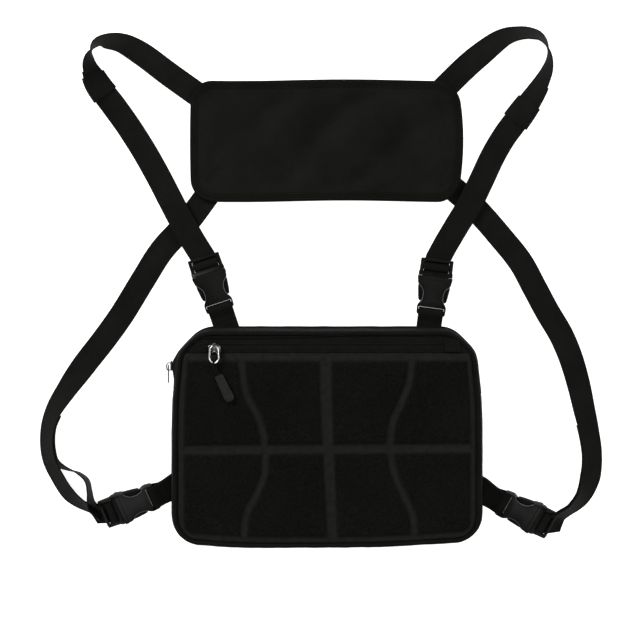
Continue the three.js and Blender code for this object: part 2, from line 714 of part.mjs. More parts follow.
function addPack() {
  const foamZ = REAR_MESH + GAP;
  const liningZ = foamZ + REAR_FOAM + GAP;
  const wallZ = BINDING_HEIGHT + GAP;
  const wall = (z0, z1) => ring(bagOutline, GUSSET_INSET, GUSSET_WALL, z0, z1);
  const above = aboveZipEnds(GAP / 2);
  const rim = BINDING_WALL + GAP;
  addNode("rear_panel", slab(bagOutline(rim), 0, REAR_MESH), spacerMesh);
  addNode("rear_foam", slab(bagOutline(INNER_INSET), foamZ, foamZ + REAR_FOAM), foam);
  addNode("rear_lining", slab(bagOutline(INNER_INSET), liningZ, liningZ + REAR_LINING), cordura);
  addNode("rear_binding", ring(bagOutline, 0, BINDING_WALL, 0, BINDING_HEIGHT), cordura);
  addNode("bottom_gusset", wall(wallZ, GUSSET_TOP).subtract(aboveZipEnds(-GAP / 2)), cordura);
  addNode("rear_zip_gusset", wall(wallZ, ZIP_LOW - GAP).intersect(above), cordura);
  addNode("main_zip_chain", wall(ZIP_LOW, ZIP_LOW + ZIP_WIDTH).intersect(above), coil);
  const frontStrip = wall(ZIP_LOW + ZIP_WIDTH + GAP, GUSSET_TOP).intersect(above);
  addNode("front_zip_gusset", frontStrip, cordura);
  const divider = slab(bagOutline(INNER_INSET), DIVIDER_Z, DIVIDER_Z + DIVIDER_THICKNESS);
  addNode("pocket_divider", divider, cordura);
}

function addFront() {
  const piping = ring(bagOutline, PIPING_INSET, PIPING_WALL, FRONT_Z, FRONT_Z + PIPING_HEIGHT);
  addNode("front_piping", piping, cordura);
  const frame = ring(bagOutline, FRAME_INSET, FRAME_WALL, FRONT_Z, BACKING_TOP);
  addNode("front_frame", frame, cordura);
  addNode("front_backing", backingSolid(), moulded);
  addNode("loop_panel", loopPanelSolid(), loopPile);
  addNode("zip_surround", zipSurroundSolid(), cordura);
  const y = [FRONT_EDGE + GAP, FRONT_EDGE + GAP + FRONT_ZIP_WIDTH];
  const chain = block(FRONT_ZIP_LEFT, FRONT_ZIP_RIGHT, ...y, FRONT_Z, CHAIN_TOP);
  addNode("front_zip_chain", chain, coil);
  const tabX = [FRONT_ZIP_RIGHT - GAP, FRONT_ZIP_RIGHT + END_TAB_LENGTH];
  const tabY = [FRONT_EDGE + GAP, FRONT_EDGE + GAP + END_TAB_WIDTH];
  const tabZ = [BACKING_TOP + GAP, BACKING_TOP + 1.5];
  addNode("zip_end_tab", block(...tabX, ...tabY, ...tabZ), cordura);
}

function addBackPanel() {
  const rim = BINDING_WALL + GAP;
  const foamZ = PANEL_SKIN + GAP;
  const faceZ = foamZ + PANEL_FOAM + GAP;
  const top = faceZ + PANEL_SKIN;
  addNode("panel_rear_mesh", slab(panelOutline(rim), 0, PANEL_SKIN), spacerMesh);
  addNode("panel_foam", slab(panelOutline(rim), foamZ, foamZ + PANEL_FOAM), foam);
  addNode("panel_face", slab(panelOutline(rim), faceZ, top), cordura);
  addNode("panel_binding", ring(panelOutline, 0, BINDING_WALL, 0, top + GAP), cordura);
}

function addHarness() {
  const socket = socketSolid();
  const lock = ladderLockSolid();
  const arm = armSolid();
  for (const name of Object.keys(buckles)) {
    const group = placed(name);
    chestPack.add(group);
    addNode(name + "_socket", socket, acetal, group);
    addNode(name + "_male_half", lock, acetal, group);
    addNode(name + "_arm_a", arm, acetal, group);
    addNode(name + "_arm_b", arm, acetal, group).rotation.x = 180 * DEG;
    addNode(name + "_tab", tabSolid(name), webbing);
    addNode(name + "_strap", strapSolid(name), webbing);
  }
  addNode("left_keeper", keeperSolid("left_shoulder"), webbing);
  addNode("right_keeper", keeperSolid("right_shoulder"), webbing);
}

function addPulls() {
  addNode("front_zip_slider", frontSliderSolid(), nickel);
  const pull = new THREE.Group();
  pull.position.set(FRONT_SLIDER_X, BAIL_Y, PULL_Z);
  chestPack.add(pull);
  addNode("front_zip_bail", bailSolid(), nickel, pull);
  addNode("front_pull_cord", cordSolid(), coil, pull);
  const grip = addNode("front_pull_grip", gripSolid(), rubber, pull);
  grip.position.set(0, GRIP_TOP - GAP, GRIP_DROP);
  addNode("main_zip_slider", mainSliderSolid(), nickel);
  addNode("main_zip_pull", mainPullSolid(), nickel);
}

addPack();
addFront();
addBackPanel();
addHarness();
addPulls();

export default chestPack;
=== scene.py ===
import math

import bpy
import numpy as np
from mathutils import Matrix, Vector, noise


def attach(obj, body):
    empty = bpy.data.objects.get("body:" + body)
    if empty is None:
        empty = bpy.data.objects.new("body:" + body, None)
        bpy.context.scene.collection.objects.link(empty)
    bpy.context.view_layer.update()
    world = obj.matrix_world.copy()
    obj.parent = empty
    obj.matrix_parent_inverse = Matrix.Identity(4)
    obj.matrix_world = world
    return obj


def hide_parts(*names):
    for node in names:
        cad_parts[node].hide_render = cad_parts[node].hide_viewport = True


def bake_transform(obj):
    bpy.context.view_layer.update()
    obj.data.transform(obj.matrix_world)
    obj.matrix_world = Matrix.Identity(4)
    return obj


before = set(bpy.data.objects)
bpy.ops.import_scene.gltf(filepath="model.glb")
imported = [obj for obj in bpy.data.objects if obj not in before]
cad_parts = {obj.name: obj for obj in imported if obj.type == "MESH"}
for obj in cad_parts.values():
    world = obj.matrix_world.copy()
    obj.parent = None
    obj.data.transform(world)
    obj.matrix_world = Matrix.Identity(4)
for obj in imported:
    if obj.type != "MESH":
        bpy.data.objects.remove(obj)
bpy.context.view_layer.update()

mm = 0.001
zUp = np.array([0.0, 0.0, 1.0])


# small helpers
def deselectAll():
    if bpy.context.object and bpy.context.object.mode != "OBJECT":
        bpy.ops.object.mode_set(mode="OBJECT")
    bpy.ops.object.select_all(action="DESELECT")


def pick(*pieces):
    deselectAll()
    for piece in pieces:
        piece.select_set(True)
    bpy.context.view_layer.objects.active = pieces[-1]


def editAll(piece):
    pick(piece)
    bpy.ops.object.mode_set(mode="EDIT")
    bpy.ops.mesh.select_all(action="SELECT")


def closeUp(piece, fillEnds=True):
    # weld the seam, cap what is open, turn the faces outward
    editAll(piece)
    bpy.ops.mesh.remove_doubles(threshold=0.00002)
    if fillEnds:
        bpy.ops.mesh.fill_holes(sides=0)
        bpy.ops.mesh.select_all(action="SELECT")
    bpy.ops.mesh.normals_make_consistent(inside=False)
    bpy.ops.object.mode_set(mode="OBJECT")


def withModifier(piece, kind, **settings):
    pick(piece)
    modifier = piece.modifiers.new(kind.title(), kind)
    for key, value in settings.items():
        setattr(modifier, key, value)
    bpy.ops.object.modifier_apply(modifier=modifier.name)
    return piece


def cutAway(piece, cutter):
    withModifier(piece, "BOOLEAN", operation="DIFFERENCE", object=cutter, solver="EXACT")
    bpy.data.objects.remove(cutter)
    return piece


def joined(name, *pieces):
    pick(*pieces)
    bpy.ops.object.join()
    bpy.context.object.name = name
    return bpy.context.object


def softEdges(piece, width, segments=3, angle=35):
    return withModifier(piece, "BEVEL", width=width * mm, segments=segments,
                        limit_method="ANGLE", angle_limit=math.radians(angle),
                        harden_normals=False)


def smooth(piece, angle=40):
    pick(piece)
    bpy.ops.object.shade_smooth_by_angle(angle=math.radians(angle))
    return piece


def block(name, low, high, edge=0.0):
    # a box from its two corners, in mm, with its edges rounded
    deselectAll()
    low, high = Vector(low), Vector(high)
    bpy.ops.mesh.primitive_cube_add(size=1, location=(low + high) / 2 * mm,
                                    scale=(high - low) * mm)
    piece = bpy.context.object
    piece.name = name
    bpy.ops.object.transform_apply(location=True, rotation=True, scale=True)
    return softEdges(piece, edge) if edge else piece


def rod(name, start, end, radius, sides=16):
    # a round bar between two points, in mm
    deselectAll()
    start, end = Vector(start), Vector(end)
    turn = (end - start).to_track_quat("Z", "Y").to_euler()
    bpy.ops.mesh.primitive_cylinder_add(vertices=sides, radius=radius * mm,
                                        depth=(end - start).length * mm,
                                        location=(start + end) / 2 * mm, rotation=turn)
    piece = bpy.context.object
    piece.name = name
    bpy.ops.object.transform_apply(location=True, rotation=True, scale=True)
    return piece


def gridPiece(name, columns, rows, place, uvSize):
    # a grid whose points are laid by place(u, v), in mm, with its UV map in metres
    deselectAll()
    bpy.ops.mesh.primitive_grid_add(x_subdivisions=columns, y_subdivisions=rows, size=2,
                                    calc_uvs=True)
    piece = bpy.context.object
    piece.name = name
    mesh = piece.data
    flat = np.empty(len(mesh.vertices) * 3)
    mesh.vertices.foreach_get("co", flat)
    uv = (flat.reshape(-1, 3)[:, :2] + 1) / 2
    mesh.vertices.foreach_set("co", (place(uv[:, 0], uv[:, 1]) * mm).ravel())
    layer = mesh.uv_layers[0].data
    flat = np.empty(len(layer) * 2)
    layer.foreach_get("uv", flat)
    layer.foreach_set("uv", (flat.reshape(-1, 2) * np.array(uvSize) * mm).ravel())
    mesh.update()
    return piece


def lengthsOf(points):
    return np.concatenate([[0], np.cumsum(np.linalg.norm(np.diff(points, axis=0), axis=1))])


def loft(name, points, sides, ups, section, closedPath=False, closedSection=True, fillEnds=True):
    # a section of (across, up) points, carried along a line of frames
    section = np.array(section, float)
    if closedSection:
        section = np.vstack([section, section[:1]])
    if closedPath:
        points, sides, ups = (np.vstack([a, a[:1]]) for a in (points, sides, ups))
    along, around = lengthsOf(points), lengthsOf(section)

    def place(u, v):
        i = np.rint(u * (len(points) - 1)).astype(int)
        j = np.rint(v * (len(section) - 1)).astype(int)
        return points[i] + sides[i] * section[j, :1] + ups[i] * section[j, 1:]

    piece = gridPiece(name, len(points) - 1, len(section) - 1, place, (1, 1))
    # the UV map follows true lengths
    mesh = piece.data
    layer = mesh.uv_layers[0].data
    flat = np.empty(len(layer) * 2)
    layer.foreach_get("uv", flat)
    uv = flat.reshape(-1, 2) / mm
    u = along[np.clip(np.rint(uv[:, 0] * (len(points) - 1)).astype(int), 0, len(points) - 1)]
    v = around[np.clip(np.rint(uv[:, 1] * (len(section) - 1)).astype(int), 0, len(section) - 1)]
    layer.foreach_set("uv", (np.stack([u, v], 1) * mm).ravel())
    if closedSection:
        closeUp(piece, fillEnds and not closedPath)
    return smooth(piece)


def roundedSection(width, height, radius, steps=4, flats=1):
    # a rounded rectangle about the origin, drawn anticlockwise
    points = []
    for k, (cx, cy) in enumerate([(1, -1), (1, 1), (-1, 1), (-1, -1)]):
        for i in range(steps + 1):
            a = math.radians(-90 + 90 * k + 90 * i / steps)
            points.append((cx * (width / 2 - radius) + radius * math.cos(a),
                           cy * (height / 2 - radius) + radius * math.sin(a)))
        if flats > 1 and k % 2 == 1:
            # points along the long sides, so that they can follow a curve
            end = -cx * (width / 2 - radius)
            start = points[-1]
            for i in range(1, flats):
                points.append((start[0] + (end - start[0]) * i / flats, start[1]))
    return points


def catmull(stations, perSegment):
    # a centripetal Catmull-Rom curve through the stations; also gives its place among them
    pts = np.array(stations, float)
    ends = [2 * pts[0] - pts[1], 2 * pts[-1] - pts[-2]]
    pts = np.vstack([ends[:1], pts, ends[1:]])
    out, at = [], []
    for k in range(1, len(pts) - 2):
        a, b, c, d = pts[k - 1:k + 3]
        d0, d1, d2 = (max(np.linalg.norm(q - p) ** 0.5, 1e-4) for p, q in ((a, b), (b, c), (c, d)))
        m1 = ((b - a) / d0 - (c - a) / (d0 + d1) + (c - b) / d1) * d1
        m2 = ((c - b) / d1 - (d - b) / (d1 + d2) + (d - c) / d2) * d1
        for i in range(perSegment):
            t = i / perSegment
            out.append(b + m1 * t + (-3 * b + 3 * c - 2 * m1 - m2) * t * t
                       + (2 * b - 2 * c + m1 + m2) * t ** 3)
            at.append(k - 1 + t)
    out.append(pts[-2])
    at.append(len(pts) - 3)
    return np.array(out), np.array(at)


def evenly(points, step, *others):
    # resample a line, and whatever goes with it, at an even step
    s = lengthsOf(points)
    count = max(int(round(s[-1] / step)), 2)
    at = np.linspace(0, s[-1], count + 1)
    def sample(values):
        return np.stack([np.interp(at, s, values[:, k]) for k in range(values.shape[1])], 1)
    return [sample(np.asarray(v, float)) for v in (points, *others)]


def unit(rows):
    return rows / np.maximum(np.linalg.norm(rows, axis=1, keepdims=True), 1e-9)


def tangentsOf(points, closed=False):
    if closed:
        return unit(np.roll(points, -1, 0) - np.roll(points, 1, 0))
    return unit(np.gradient(points, axis=0))


def circleSection(radius, sides):
    turns = [2 * math.pi * k / sides for k in range(sides)]
    return [(radius * math.cos(a), radius * math.sin(a)) for a in turns]


def tube(name, points, radius, sides=10, closed=False, start=(0, 0, 1)):
    points = np.array(points, float)
    along = tangentsOf(points, closed)
    up = np.tile(np.array(start, float), (len(points), 1))
    up = unit(up - along * (up * along).sum(1, keepdims=True))
    side = np.cross(along, up)
    return loft(name, points, side, up, circleSection(radius, sides), closedPath=closed)


def ripple(points, size, height, seed=0):
    # smooth noise at each point, from -height to height
    offset = Vector((seed * 17.3, seed * 5.1, seed * 3.7))
    return np.array([noise.noise(Vector(p) / size + offset) for p in points]) * height


print("helpers ready")

# finishes
finish = {
    "packCloth": (0.0046, 0.0046, 0.0040),
    "panelCloth": (0.0058, 0.0058, 0.0050),
    "webbing": (0.0042, 0.0042, 0.0036),
    "pile": (0.0043, 0.0043, 0.0039),
    "pileTips": (0.0090, 0.0090, 0.0082),
    # pressed channels: lighter than the pile, partly their own smooth knit and partly painted
    # sheen
    "pressed": (0.0086, 0.0086, 0.0079),
    "plastic": (0.0030, 0.0030, 0.0027),
    # painted highlight: pale plastic for the rims along the buckle bevels
    "rubbed": (0.075, 0.075, 0.070),
    "rubber": (0.0112, 0.0112, 0.0102),
    "coil": (0.0030, 0.0030, 0.0027),
    "mesh": (0.0050, 0.0050, 0.0045),
    "thread": (0.0095, 0.0095, 0.0085),
    "nickel": (0.78, 0.77, 0.75),
    # painted shade: the nickel darkened about sixfold, for the sliders and the main pull tab
    "shadedNickel": (0.12, 0.118, 0.115),
}


class Finish:
    # a node material under construction
    def __init__(self, name, roughness, specular=0.3, metallic=0.0, sheen=0.0):
        self.material = bpy.data.materials.new(name)
        self.material.use_nodes = True
        self.tree = self.material.node_tree
        self.shader = self.tree.nodes["Principled BSDF"]
        sockets = self.shader.inputs
        sockets["Roughness"].default_value = roughness
        sockets["Metallic"].default_value = metallic
        sockets["Specular IOR Level"].default_value = specular
        sockets["Sheen Weight"].default_value = sheen
        sockets["Sheen Roughness"].default_value = 0.5
        self.coordinates = self.tree.nodes.new("ShaderNodeTexCoord")

    def add(self, kind, **links):
        node = self.tree.nodes.new(kind)
        return self.set(node, **links)

    def set(self, node, **links):
        for key, value in links.items():
            if key.startswith("in"):
                socket = node.inputs[int(key[2:])]
            elif hasattr(node, key):
                setattr(node, key, value)
                continue
            else:
                socket = node.inputs[key.replace("_", " ").title()]
            if isinstance(value, bpy.types.NodeSocket):
                self.tree.links.new(value, socket)
            else:
                socket.default_value = value
        return node

    def where(self, space, scale=(1, 1, 1), turn=0.0):
        node = self.add("ShaderNodeMapping", in0=self.coordinates.outputs[space])
        node.inputs["Scale"].default_value = scale
        node.inputs["Rotation"].default_value = (0, 0, turn)
        return node.outputs[0]

    def noise(self, vector, scale, detail=3.0, rough=0.6):
        node = self.add("ShaderNodeTexNoise", in0=vector)
        node.inputs["Scale"].default_value = scale
        node.inputs["Detail"].default_value = detail
        node.inputs["Roughness"].default_value = rough
        return node.outputs[0]

    def wave(self, vector, period, direction="X", distortion=0.0):
        # bands this many mm apart
        node = self.add("ShaderNodeTexWave", in0=vector)
        node.bands_direction = direction
        node.inputs["Scale"].default_value = 2 * math.pi / (20 * period * mm)
        node.inputs["Distortion"].default_value = distortion
        return node.outputs[1]

    def math(self, operation, a, b=0.0, c=0.0):
        node = self.add("ShaderNodeMath", operation=operation)
        for socket, value in zip(node.inputs, (a, b, c)):
            if isinstance(value, bpy.types.NodeSocket):
                self.tree.links.new(value, socket)
            else:
                socket.default_value = value
        return node.outputs[0]

    def span(self, value, low, high, fromLow=0.0, fromHigh=1.0):
        node = self.add("ShaderNodeMapRange", in0=value)
        for k, number in zip((1, 2, 3, 4), (fromLow, fromHigh, low, high)):
            node.inputs[k].default_value = number
        return node.outputs[0]

    def ramp(self, value, *stops):
        node = self.add("ShaderNodeValToRGB", in0=value)
        bar = node.color_ramp.elements
        while len(bar) < len(stops):
            bar.new(0.5)
        for element, (at, colour) in zip(bar, stops):
            element.position = at
            element.color = (*colour, 1)
        return node.outputs[0]

    def mix(self, factor, a, b):
        node = self.add("ShaderNodeMix", data_type="RGBA")
        for k, value in ((0, factor), (6, a), (7, b)):
            if isinstance(value, bpy.types.NodeSocket):
                self.tree.links.new(value, node.inputs[k])
            else:
                node.inputs[k].default_value = value if k == 0 else (*value, 1)
        return node.outputs[2]

    def colour(self, value):
        self.tree.links.new(value, self.shader.inputs["Base Color"])

    def roughness(self, value):
        self.tree.links.new(value, self.shader.inputs["Roughness"])

    def bump(self, height, depth, strength=1.0, after=None):
        # relief this many mm deep
        node = self.add("ShaderNodeBump")
        node.inputs["Strength"].default_value = strength
        node.inputs["Distance"].default_value = depth * mm
        self.tree.links.new(height, node.inputs["Height"])
        if after is not None:
            self.tree.links.new(after, node.inputs["Normal"])
        self.tree.links.new(node.outputs[0], self.shader.inputs["Normal"])
        return node.outputs[0]


def shade(colour, factor):
    return tuple(c * factor for c in colour)


def makeCloth(name, colour, pitch, space="UV", roughness=0.85, depth=0.12, turn=0.0):
    # plain weave: warp and weft threads over and under each other
    f = Finish(name, roughness, specular=0.04)
    at = f.where(space, turn=turn)
    warp, weft = f.wave(at, pitch, "X"), f.wave(at, pitch, "Y")
    both = f.math("MULTIPLY", warp, weft)
    neither = f.math("MULTIPLY", f.math("SUBTRACT", 1.0, warp), f.math("SUBTRACT", 1.0, weft))
    weave = f.math("ADD", both, neither)
    broad = f.noise(f.where("Object"), 26, 4, 0.55)
    fine = f.noise(f.where("Object"), 900, 2, 0.7)
    tone = f.math("ADD", f.math("MULTIPLY", broad, 0.5), f.math("MULTIPLY", fine, 0.5))
    tone = f.math("ADD", f.math("MULTIPLY", tone, 0.7), f.math("MULTIPLY", weave, 0.3))
    f.colour(f.ramp(tone, (0.3, shade(colour, 0.45)), (0.5, colour), (0.72, shade(colour, 1.9))))
    f.roughness(f.span(fine, roughness - 0.12, min(roughness + 0.1, 1.0)))
    f.bump(f.math("ADD", weave, f.math("MULTIPLY", fine, 0.5)), depth)
    return f.material


def makeWebbing(name, colour):
    # tight ribs that lean one way and the other in turn
    f = Finish(name, 0.72, specular=0.05)
    at = f.where("UV")
    leanRight = f.wave(f.where("UV", turn=math.radians(32)), 1.15, "X")
    leanLeft = f.wave(f.where("UV", turn=math.radians(-32)), 1.15, "X")
    column = f.wave(at, 3.1, "Y")
    side = f.math("GREATER_THAN", column, 0.5)
    ribs = f.math("ADD", f.math("MULTIPLY", leanRight, side),
                  f.math("MULTIPLY", leanLeft, f.math("SUBTRACT", 1.0, side)))
    rows = f.wave(at, 1.55, "Y")
    weave = f.math("MULTIPLY", ribs, f.math("ADD", f.math("MULTIPLY", rows, 0.6), 0.4))
    broad = f.noise(f.where("Object"), 38, 3, 0.5)
    fine = f.noise(f.where("Object"), 1100, 2, 0.6)
    tone = f.math("ADD", f.math("MULTIPLY", weave, 0.45), f.math("MULTIPLY", broad, 0.55))
    f.colour(f.ramp(tone, (0.15, shade(colour, 0.5)), (0.45, colour), (0.85, shade(colour, 2.1))))
    f.roughness(f.span(fine, 0.62, 0.86))
    f.bump(f.math("ADD", weave, f.math("MULTIPLY", fine, 0.25)), 0.22)
    return f.material


def makePile(name):
    # loop pile standing between the smooth channels that are pressed into it
    f = Finish(name, 0.9, specular=0.03)
    at = f.where("Object")
    pile = f.add("ShaderNodeAttribute", attribute_name="pile").outputs["Fac"]
    loops = f.add("ShaderNodeTexVoronoi", in0=at, feature="SMOOTH_F1")
    loops.inputs["Scale"].default_value = 1150
    clumps = f.noise(at, 560, 3, 0.75)
    tufts = f.math("SUBTRACT", 1.0, loops.outputs["Distance"])
    speck = f.math("ADD", f.math("MULTIPLY", clumps, 0.62), f.math("MULTIPLY", tufts, 0.38))
    broad = f.noise(at, 14, 2, 0.5)
    speck = f.math("ADD", speck, f.math("MULTIPLY", f.math("SUBTRACT", broad, 0.5), 0.16))
    loopColour = f.ramp(speck, (0.36, shade(finish["pile"], 0.35)), (0.56, finish["pile"]),
                        (0.78, finish["pileTips"]))
    flat = f.noise(at, 170, 4, 0.6)
    # the channels' lighter colour is partly their own smooth knit, partly painted sheen
    pressed = finish["pressed"]
    flatColour = f.ramp(flat, (0.3, shade(pressed, 0.72)), (0.7, shade(pressed, 1.25)))
    edge = f.math("SMOOTH_MIN", pile, 1.0, 0.1)
    f.colour(f.mix(edge, flatColour, loopColour))
    f.roughness(f.span(pile, 0.68, 1.0))
    height = f.math("ADD", f.math("MULTIPLY", speck, pile), f.math("MULTIPLY", flat, 0.12))
    f.bump(height, 0.9)
    return f.material


def makePlastic(name, colour, roughness=0.32, specular=0.075):
    # acetal with a spark-eroded texture and a tone that varies at random
    f = Finish(name, roughness, specular=specular)
    at = f.where("Object")
    grain = f.noise(at, 1500, 3, 0.6)
    broad = f.noise(at, 90, 3, 0.55)
    f.colour(f.ramp(broad, (0.3, shade(colour, 0.75)), (0.7, shade(colour, 1.35))))
    f.roughness(f.span(f.math("ADD", f.math("MULTIPLY", grain, 0.5),
                              f.math("MULTIPLY", broad, 0.5)), roughness - 0.08, roughness + 0.14))
    f.bump(grain, 0.05)
    return f.material


def makeMetal(name, colour):
    f = Finish(name, 0.24, specular=0.5, metallic=1.0)
    at = f.where("Object")
    wear = f.noise(at, 420, 4, 0.65)
    f.colour(f.ramp(wear, (0.3, shade(colour, 0.8)), (0.65, colour)))
    f.roughness(f.span(wear, 0.16, 0.38))
    f.bump(f.noise(at, 2200, 2, 0.5), 0.015)
    return f.material


def makeRubber(name):
    f = Finish(name, 0.62, specular=0.09)
    at = f.where("Object")
    grain = f.noise(at, 1300, 3, 0.6)
    dust = f.noise(at, 130, 4, 0.6)
    colour = finish["rubber"]
    f.colour(f.ramp(dust, (0.3, shade(colour, 0.75)), (0.72, shade(colour, 1.3))))
    f.roughness(f.span(grain, 0.5, 0.78))
    f.bump(grain, 0.07)
    return f.material


def makeMesh(name):
    # spacer mesh: staggered holes in a knitted face, in bump relief, with painted shade inside
    # them
    f = Finish(name, 0.9, specular=0.04)
    at = f.where("Object", scale=(1, 0.62, 1))
    holes = f.add("ShaderNodeTexVoronoi", in0=at, feature="F1")
    holes.inputs["Scale"].default_value = 330
    holes.inputs["Randomness"].default_value = 0.12
    wall = f.span(holes.outputs["Distance"], 0.0, 1.0, 0.16, 0.42)
    # painted shade: the colour falls to a fifth of the mesh tone towards each hole's middle, and
    # rises to twice it on the walls between
    f.colour(f.ramp(wall, (0.1, shade(finish["mesh"], 0.2)), (0.6, finish["mesh"]),
                    (1.0, shade(finish["mesh"], 2.0))))
    fine = f.noise(f.where("Object"), 1400, 2, 0.6)
    f.roughness(f.span(fine, 0.78, 1.0))
    f.bump(f.math("ADD", wall, f.math("MULTIPLY", fine, 0.15)), 0.8)
    return f.material


packCloth = makeCloth("pack_cloth", finish["packCloth"], 0.62)
panelCloth = makeCloth("panel_cloth", finish["panelCloth"], 0.66, space="Object")
tapeCloth = makeCloth("binding_tape", shade(finish["packCloth"], 0.82), 0.9)
flatCloth = makeCloth("pack_cloth_flat", finish["packCloth"], 0.62, space="Object")
webbing = makeWebbing("nylon_webbing", finish["webbing"])
pile = makePile("loop_pile")
plastic = makePlastic("acetal", finish["plastic"])
plasticGrip = makePlastic("acetal_grip", shade(finish["plastic"], 0.75), 0.55, 0.05)
nickel = makeMetal("nickel", finish["nickel"])
# painted shade: a darkened copy of the nickel for the sliders and the main pull tab
shadedNickel = makeMetal("nickel_dark", finish["shadedNickel"])
# painted highlight: a pale copy of the acetal for the buckle edge rims
rubbed = makePlastic("acetal_rubbed", finish["rubbed"], 0.3, 0.4)
rubber = makeRubber("rubber")
coil = makePlastic("zip_coil", finish["coil"], 0.55, 0.05)
spacerMesh = makeMesh("spacer_mesh")
thread = makeCloth("thread", finish["thread"], 0.5, space="Object", roughness=0.6, depth=0.05)
print("finishes ready")


def finished(piece, body, material, slot, *nodes):
    piece.data.materials.clear()
    piece.data.materials.append(material)
    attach(piece, body)
    if nodes:
        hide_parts(*nodes)
    return piece


# thread, laid as raised stitches along a line
stitching = {"length": 2.3, "width": 0.55, "rise": 0.32, "gap": 3.3}


def modelStitch():
    deselectAll()
    bpy.ops.mesh.primitive_uv_sphere_add(segments=6, ring_count=4, radius=0.5)
    one = bpy.context.object
    editAll(one)
    # poles to the two ends, then slimmed to a thread
    bpy.ops.transform.rotate(value=math.radians(90), orient_axis="Y", center_override=(0, 0, 0))
    size = (stitching["length"], stitching["width"], 2 * stitching["rise"])
    bpy.ops.transform.resize(value=size)
    bpy.ops.object.mode_set(mode="OBJECT")
    corners = np.array([v.co for v in one.data.vertices])
    faces = [list(p.vertices) for p in one.data.polygons]
    bpy.data.objects.remove(one)
    return corners, faces


stitchCorners, stitchFaces = modelStitch()


def sew(name, lines, body="root", slot="webbing", gap=None):
    # lines of (points, ups) in mm: a stitch each few mm, joined as one piece of thread
    corners, faces = [], []
    for points, ups in lines:
        points, ups = evenly(points, gap or stitching["gap"], ups)
        middles = (points[1:] + points[:-1]) / 2
        along = unit(points[1:] - points[:-1])
        up = unit((ups[1:] + ups[:-1]) / 2)
        across = unit(np.cross(up, along))
        for m, a, c, n in zip(middles, along, across, up):
            first = len(corners) * len(stitchCorners)
            corners.append(m + stitchCorners[:, :1] * a + stitchCorners[:, 1:2] * c
                           + stitchCorners[:, 2:] * n)
            faces += [[first + k for k in face] for face in stitchFaces]
    mesh = bpy.data.meshes.new(name)
    mesh.from_pydata((np.vstack(corners) * mm).tolist(), [], faces)
    piece = bpy.data.objects.new(name, mesh)
    bpy.context.scene.collection.objects.link(piece)
    smooth(piece, 60)
    return finished(piece, body, thread, slot)


# outline of the pack
bag = {"width": 311, "height": 221, "topCorner": 39, "bottomCorner": 31, "bottomBow": 5,
       "step": 2.5, "depth": 48.9}


def bagOutline():
    # from the middle of the lower edge round by the right, and back by the left
    x, top = bag["width"] / 2, bag["height"] / 2
    bottom = -top + bag["bottomBow"]
    low, high = bag["bottomCorner"], bag["topCorner"]
    flat = x - low
    half = [(flat * k / 30, bottom - bag["bottomBow"] * (1 - (k / 30) ** 2)) for k in range(30)]
    turns = [math.radians(a) for a in range(0, 91, 5)]
    half += [(flat + low * math.sin(a), bottom + low - low * math.cos(a)) for a in turns]
    half += [(x - high + high * math.cos(a), top - high + high * math.sin(a)) for a in turns]
    points = half + [(-px, py) for px, py in reversed(half)]
    points = np.array([(px, py, 0) for px, py in points], float)
    points, = evenly(points, bag["step"])
    return points[:-1]


bagLine = bagOutline()
bagAlong = tangentsOf(bagLine, closed=True)
bagOut = np.cross(bagAlong, zUp)


def bagHalf(y, inset):
    # half the width at a height, without the bow
    x, top = bag["width"] / 2 - inset, bag["height"] / 2 - inset
    bottom = -bag["height"] / 2 + bag["bottomBow"] + inset
    high, low = bag["topCorner"] - inset, bag["bottomCorner"] - inset
    above = np.clip(y - (top - high), 0, high)
    below = np.clip((bottom + low) - y, 0, low)
    cut = high - np.sqrt(np.maximum(high ** 2 - above ** 2, 0))
    return x - cut - low + np.sqrt(np.maximum(low ** 2 - below ** 2, 0))


def bagBow(x):
    flat = bag["width"] / 2 - bag["bottomCorner"]
    return bag["bottomBow"] * np.clip(1 - (x / flat) ** 2, 0, 1)


def bagPlane(inset, y0, y1, u, v):
    # points spread over the outline between two heights, rounded at its corners
    bottom = -bag["height"] / 2 + bag["bottomBow"] + inset
    y = y0 + (y1 - y0) * v
    half = bagHalf(y, inset)
    x = (2 * u - 1) * half
    drop = np.clip((0 - y) / (0 - bottom), 0, 1) * bagBow(x)
    return x, y - drop


def step01(value, low, high):
    t = np.clip((value - low) / (high - low), 0, 1)
    return t * t * (3 - 2 * t)


# how the filled pack draws in towards its top, and sags at its lower left corner
settle = {"heights": (10, 38.5, 68.5, 86.5, 98.5, 110), "drawIn": (0, 1, 4.4, 5.8, 10.5, 13),
          "sag": 2.4, "slider": 71.5}


def settleBag(*names):
    for name in names:
        mesh = bpy.data.objects[name].data
        flat = np.empty(len(mesh.vertices) * 3)
        mesh.vertices.foreach_get("co", flat)
        p = flat.reshape(-1, 3) / mm
        x, y, z = p.T
        draw = np.interp(y, settle["heights"], settle["drawIn"]) * (np.abs(x) / 155) ** 4
        # the chain keeps its place beside the slider
        hold = np.exp(-((y - settle["slider"]) / 11) ** 2) * np.exp(-((z - 27.3) / 8) ** 2)
        draw = draw * (1 - np.where(x < 0, 0.93, 0) * hold)
        p[:, 0] -= np.sign(x) * draw
        p[:, 1] -= settle["sag"] * step01(-x, 0, 110) * step01(-y, 60, 105)
        mesh.vertices.foreach_set("co", (p * mm).ravel())
        mesh.update()


# gusset, zip and binding round the pack
wall = {"rearInset": 3.4, "bulge": 1.7, "frontInset": 5.3, "thick": 1.8, "wrinkle": 0.55,
        "zipLow": 24.2, "zipHigh": 30.4, "leftEnd": 50.5, "rightEnd": 45.5, "tooth": 1.25}


def wallInset(z):
    t = np.clip((z - 5) / (bag["depth"] - 5), 0, 1)
    return wall["rearInset"] + (wall["frontInset"] - wall["rearInset"]) * t ** 2 \
        - wall["bulge"] * np.sin(np.pi * t)


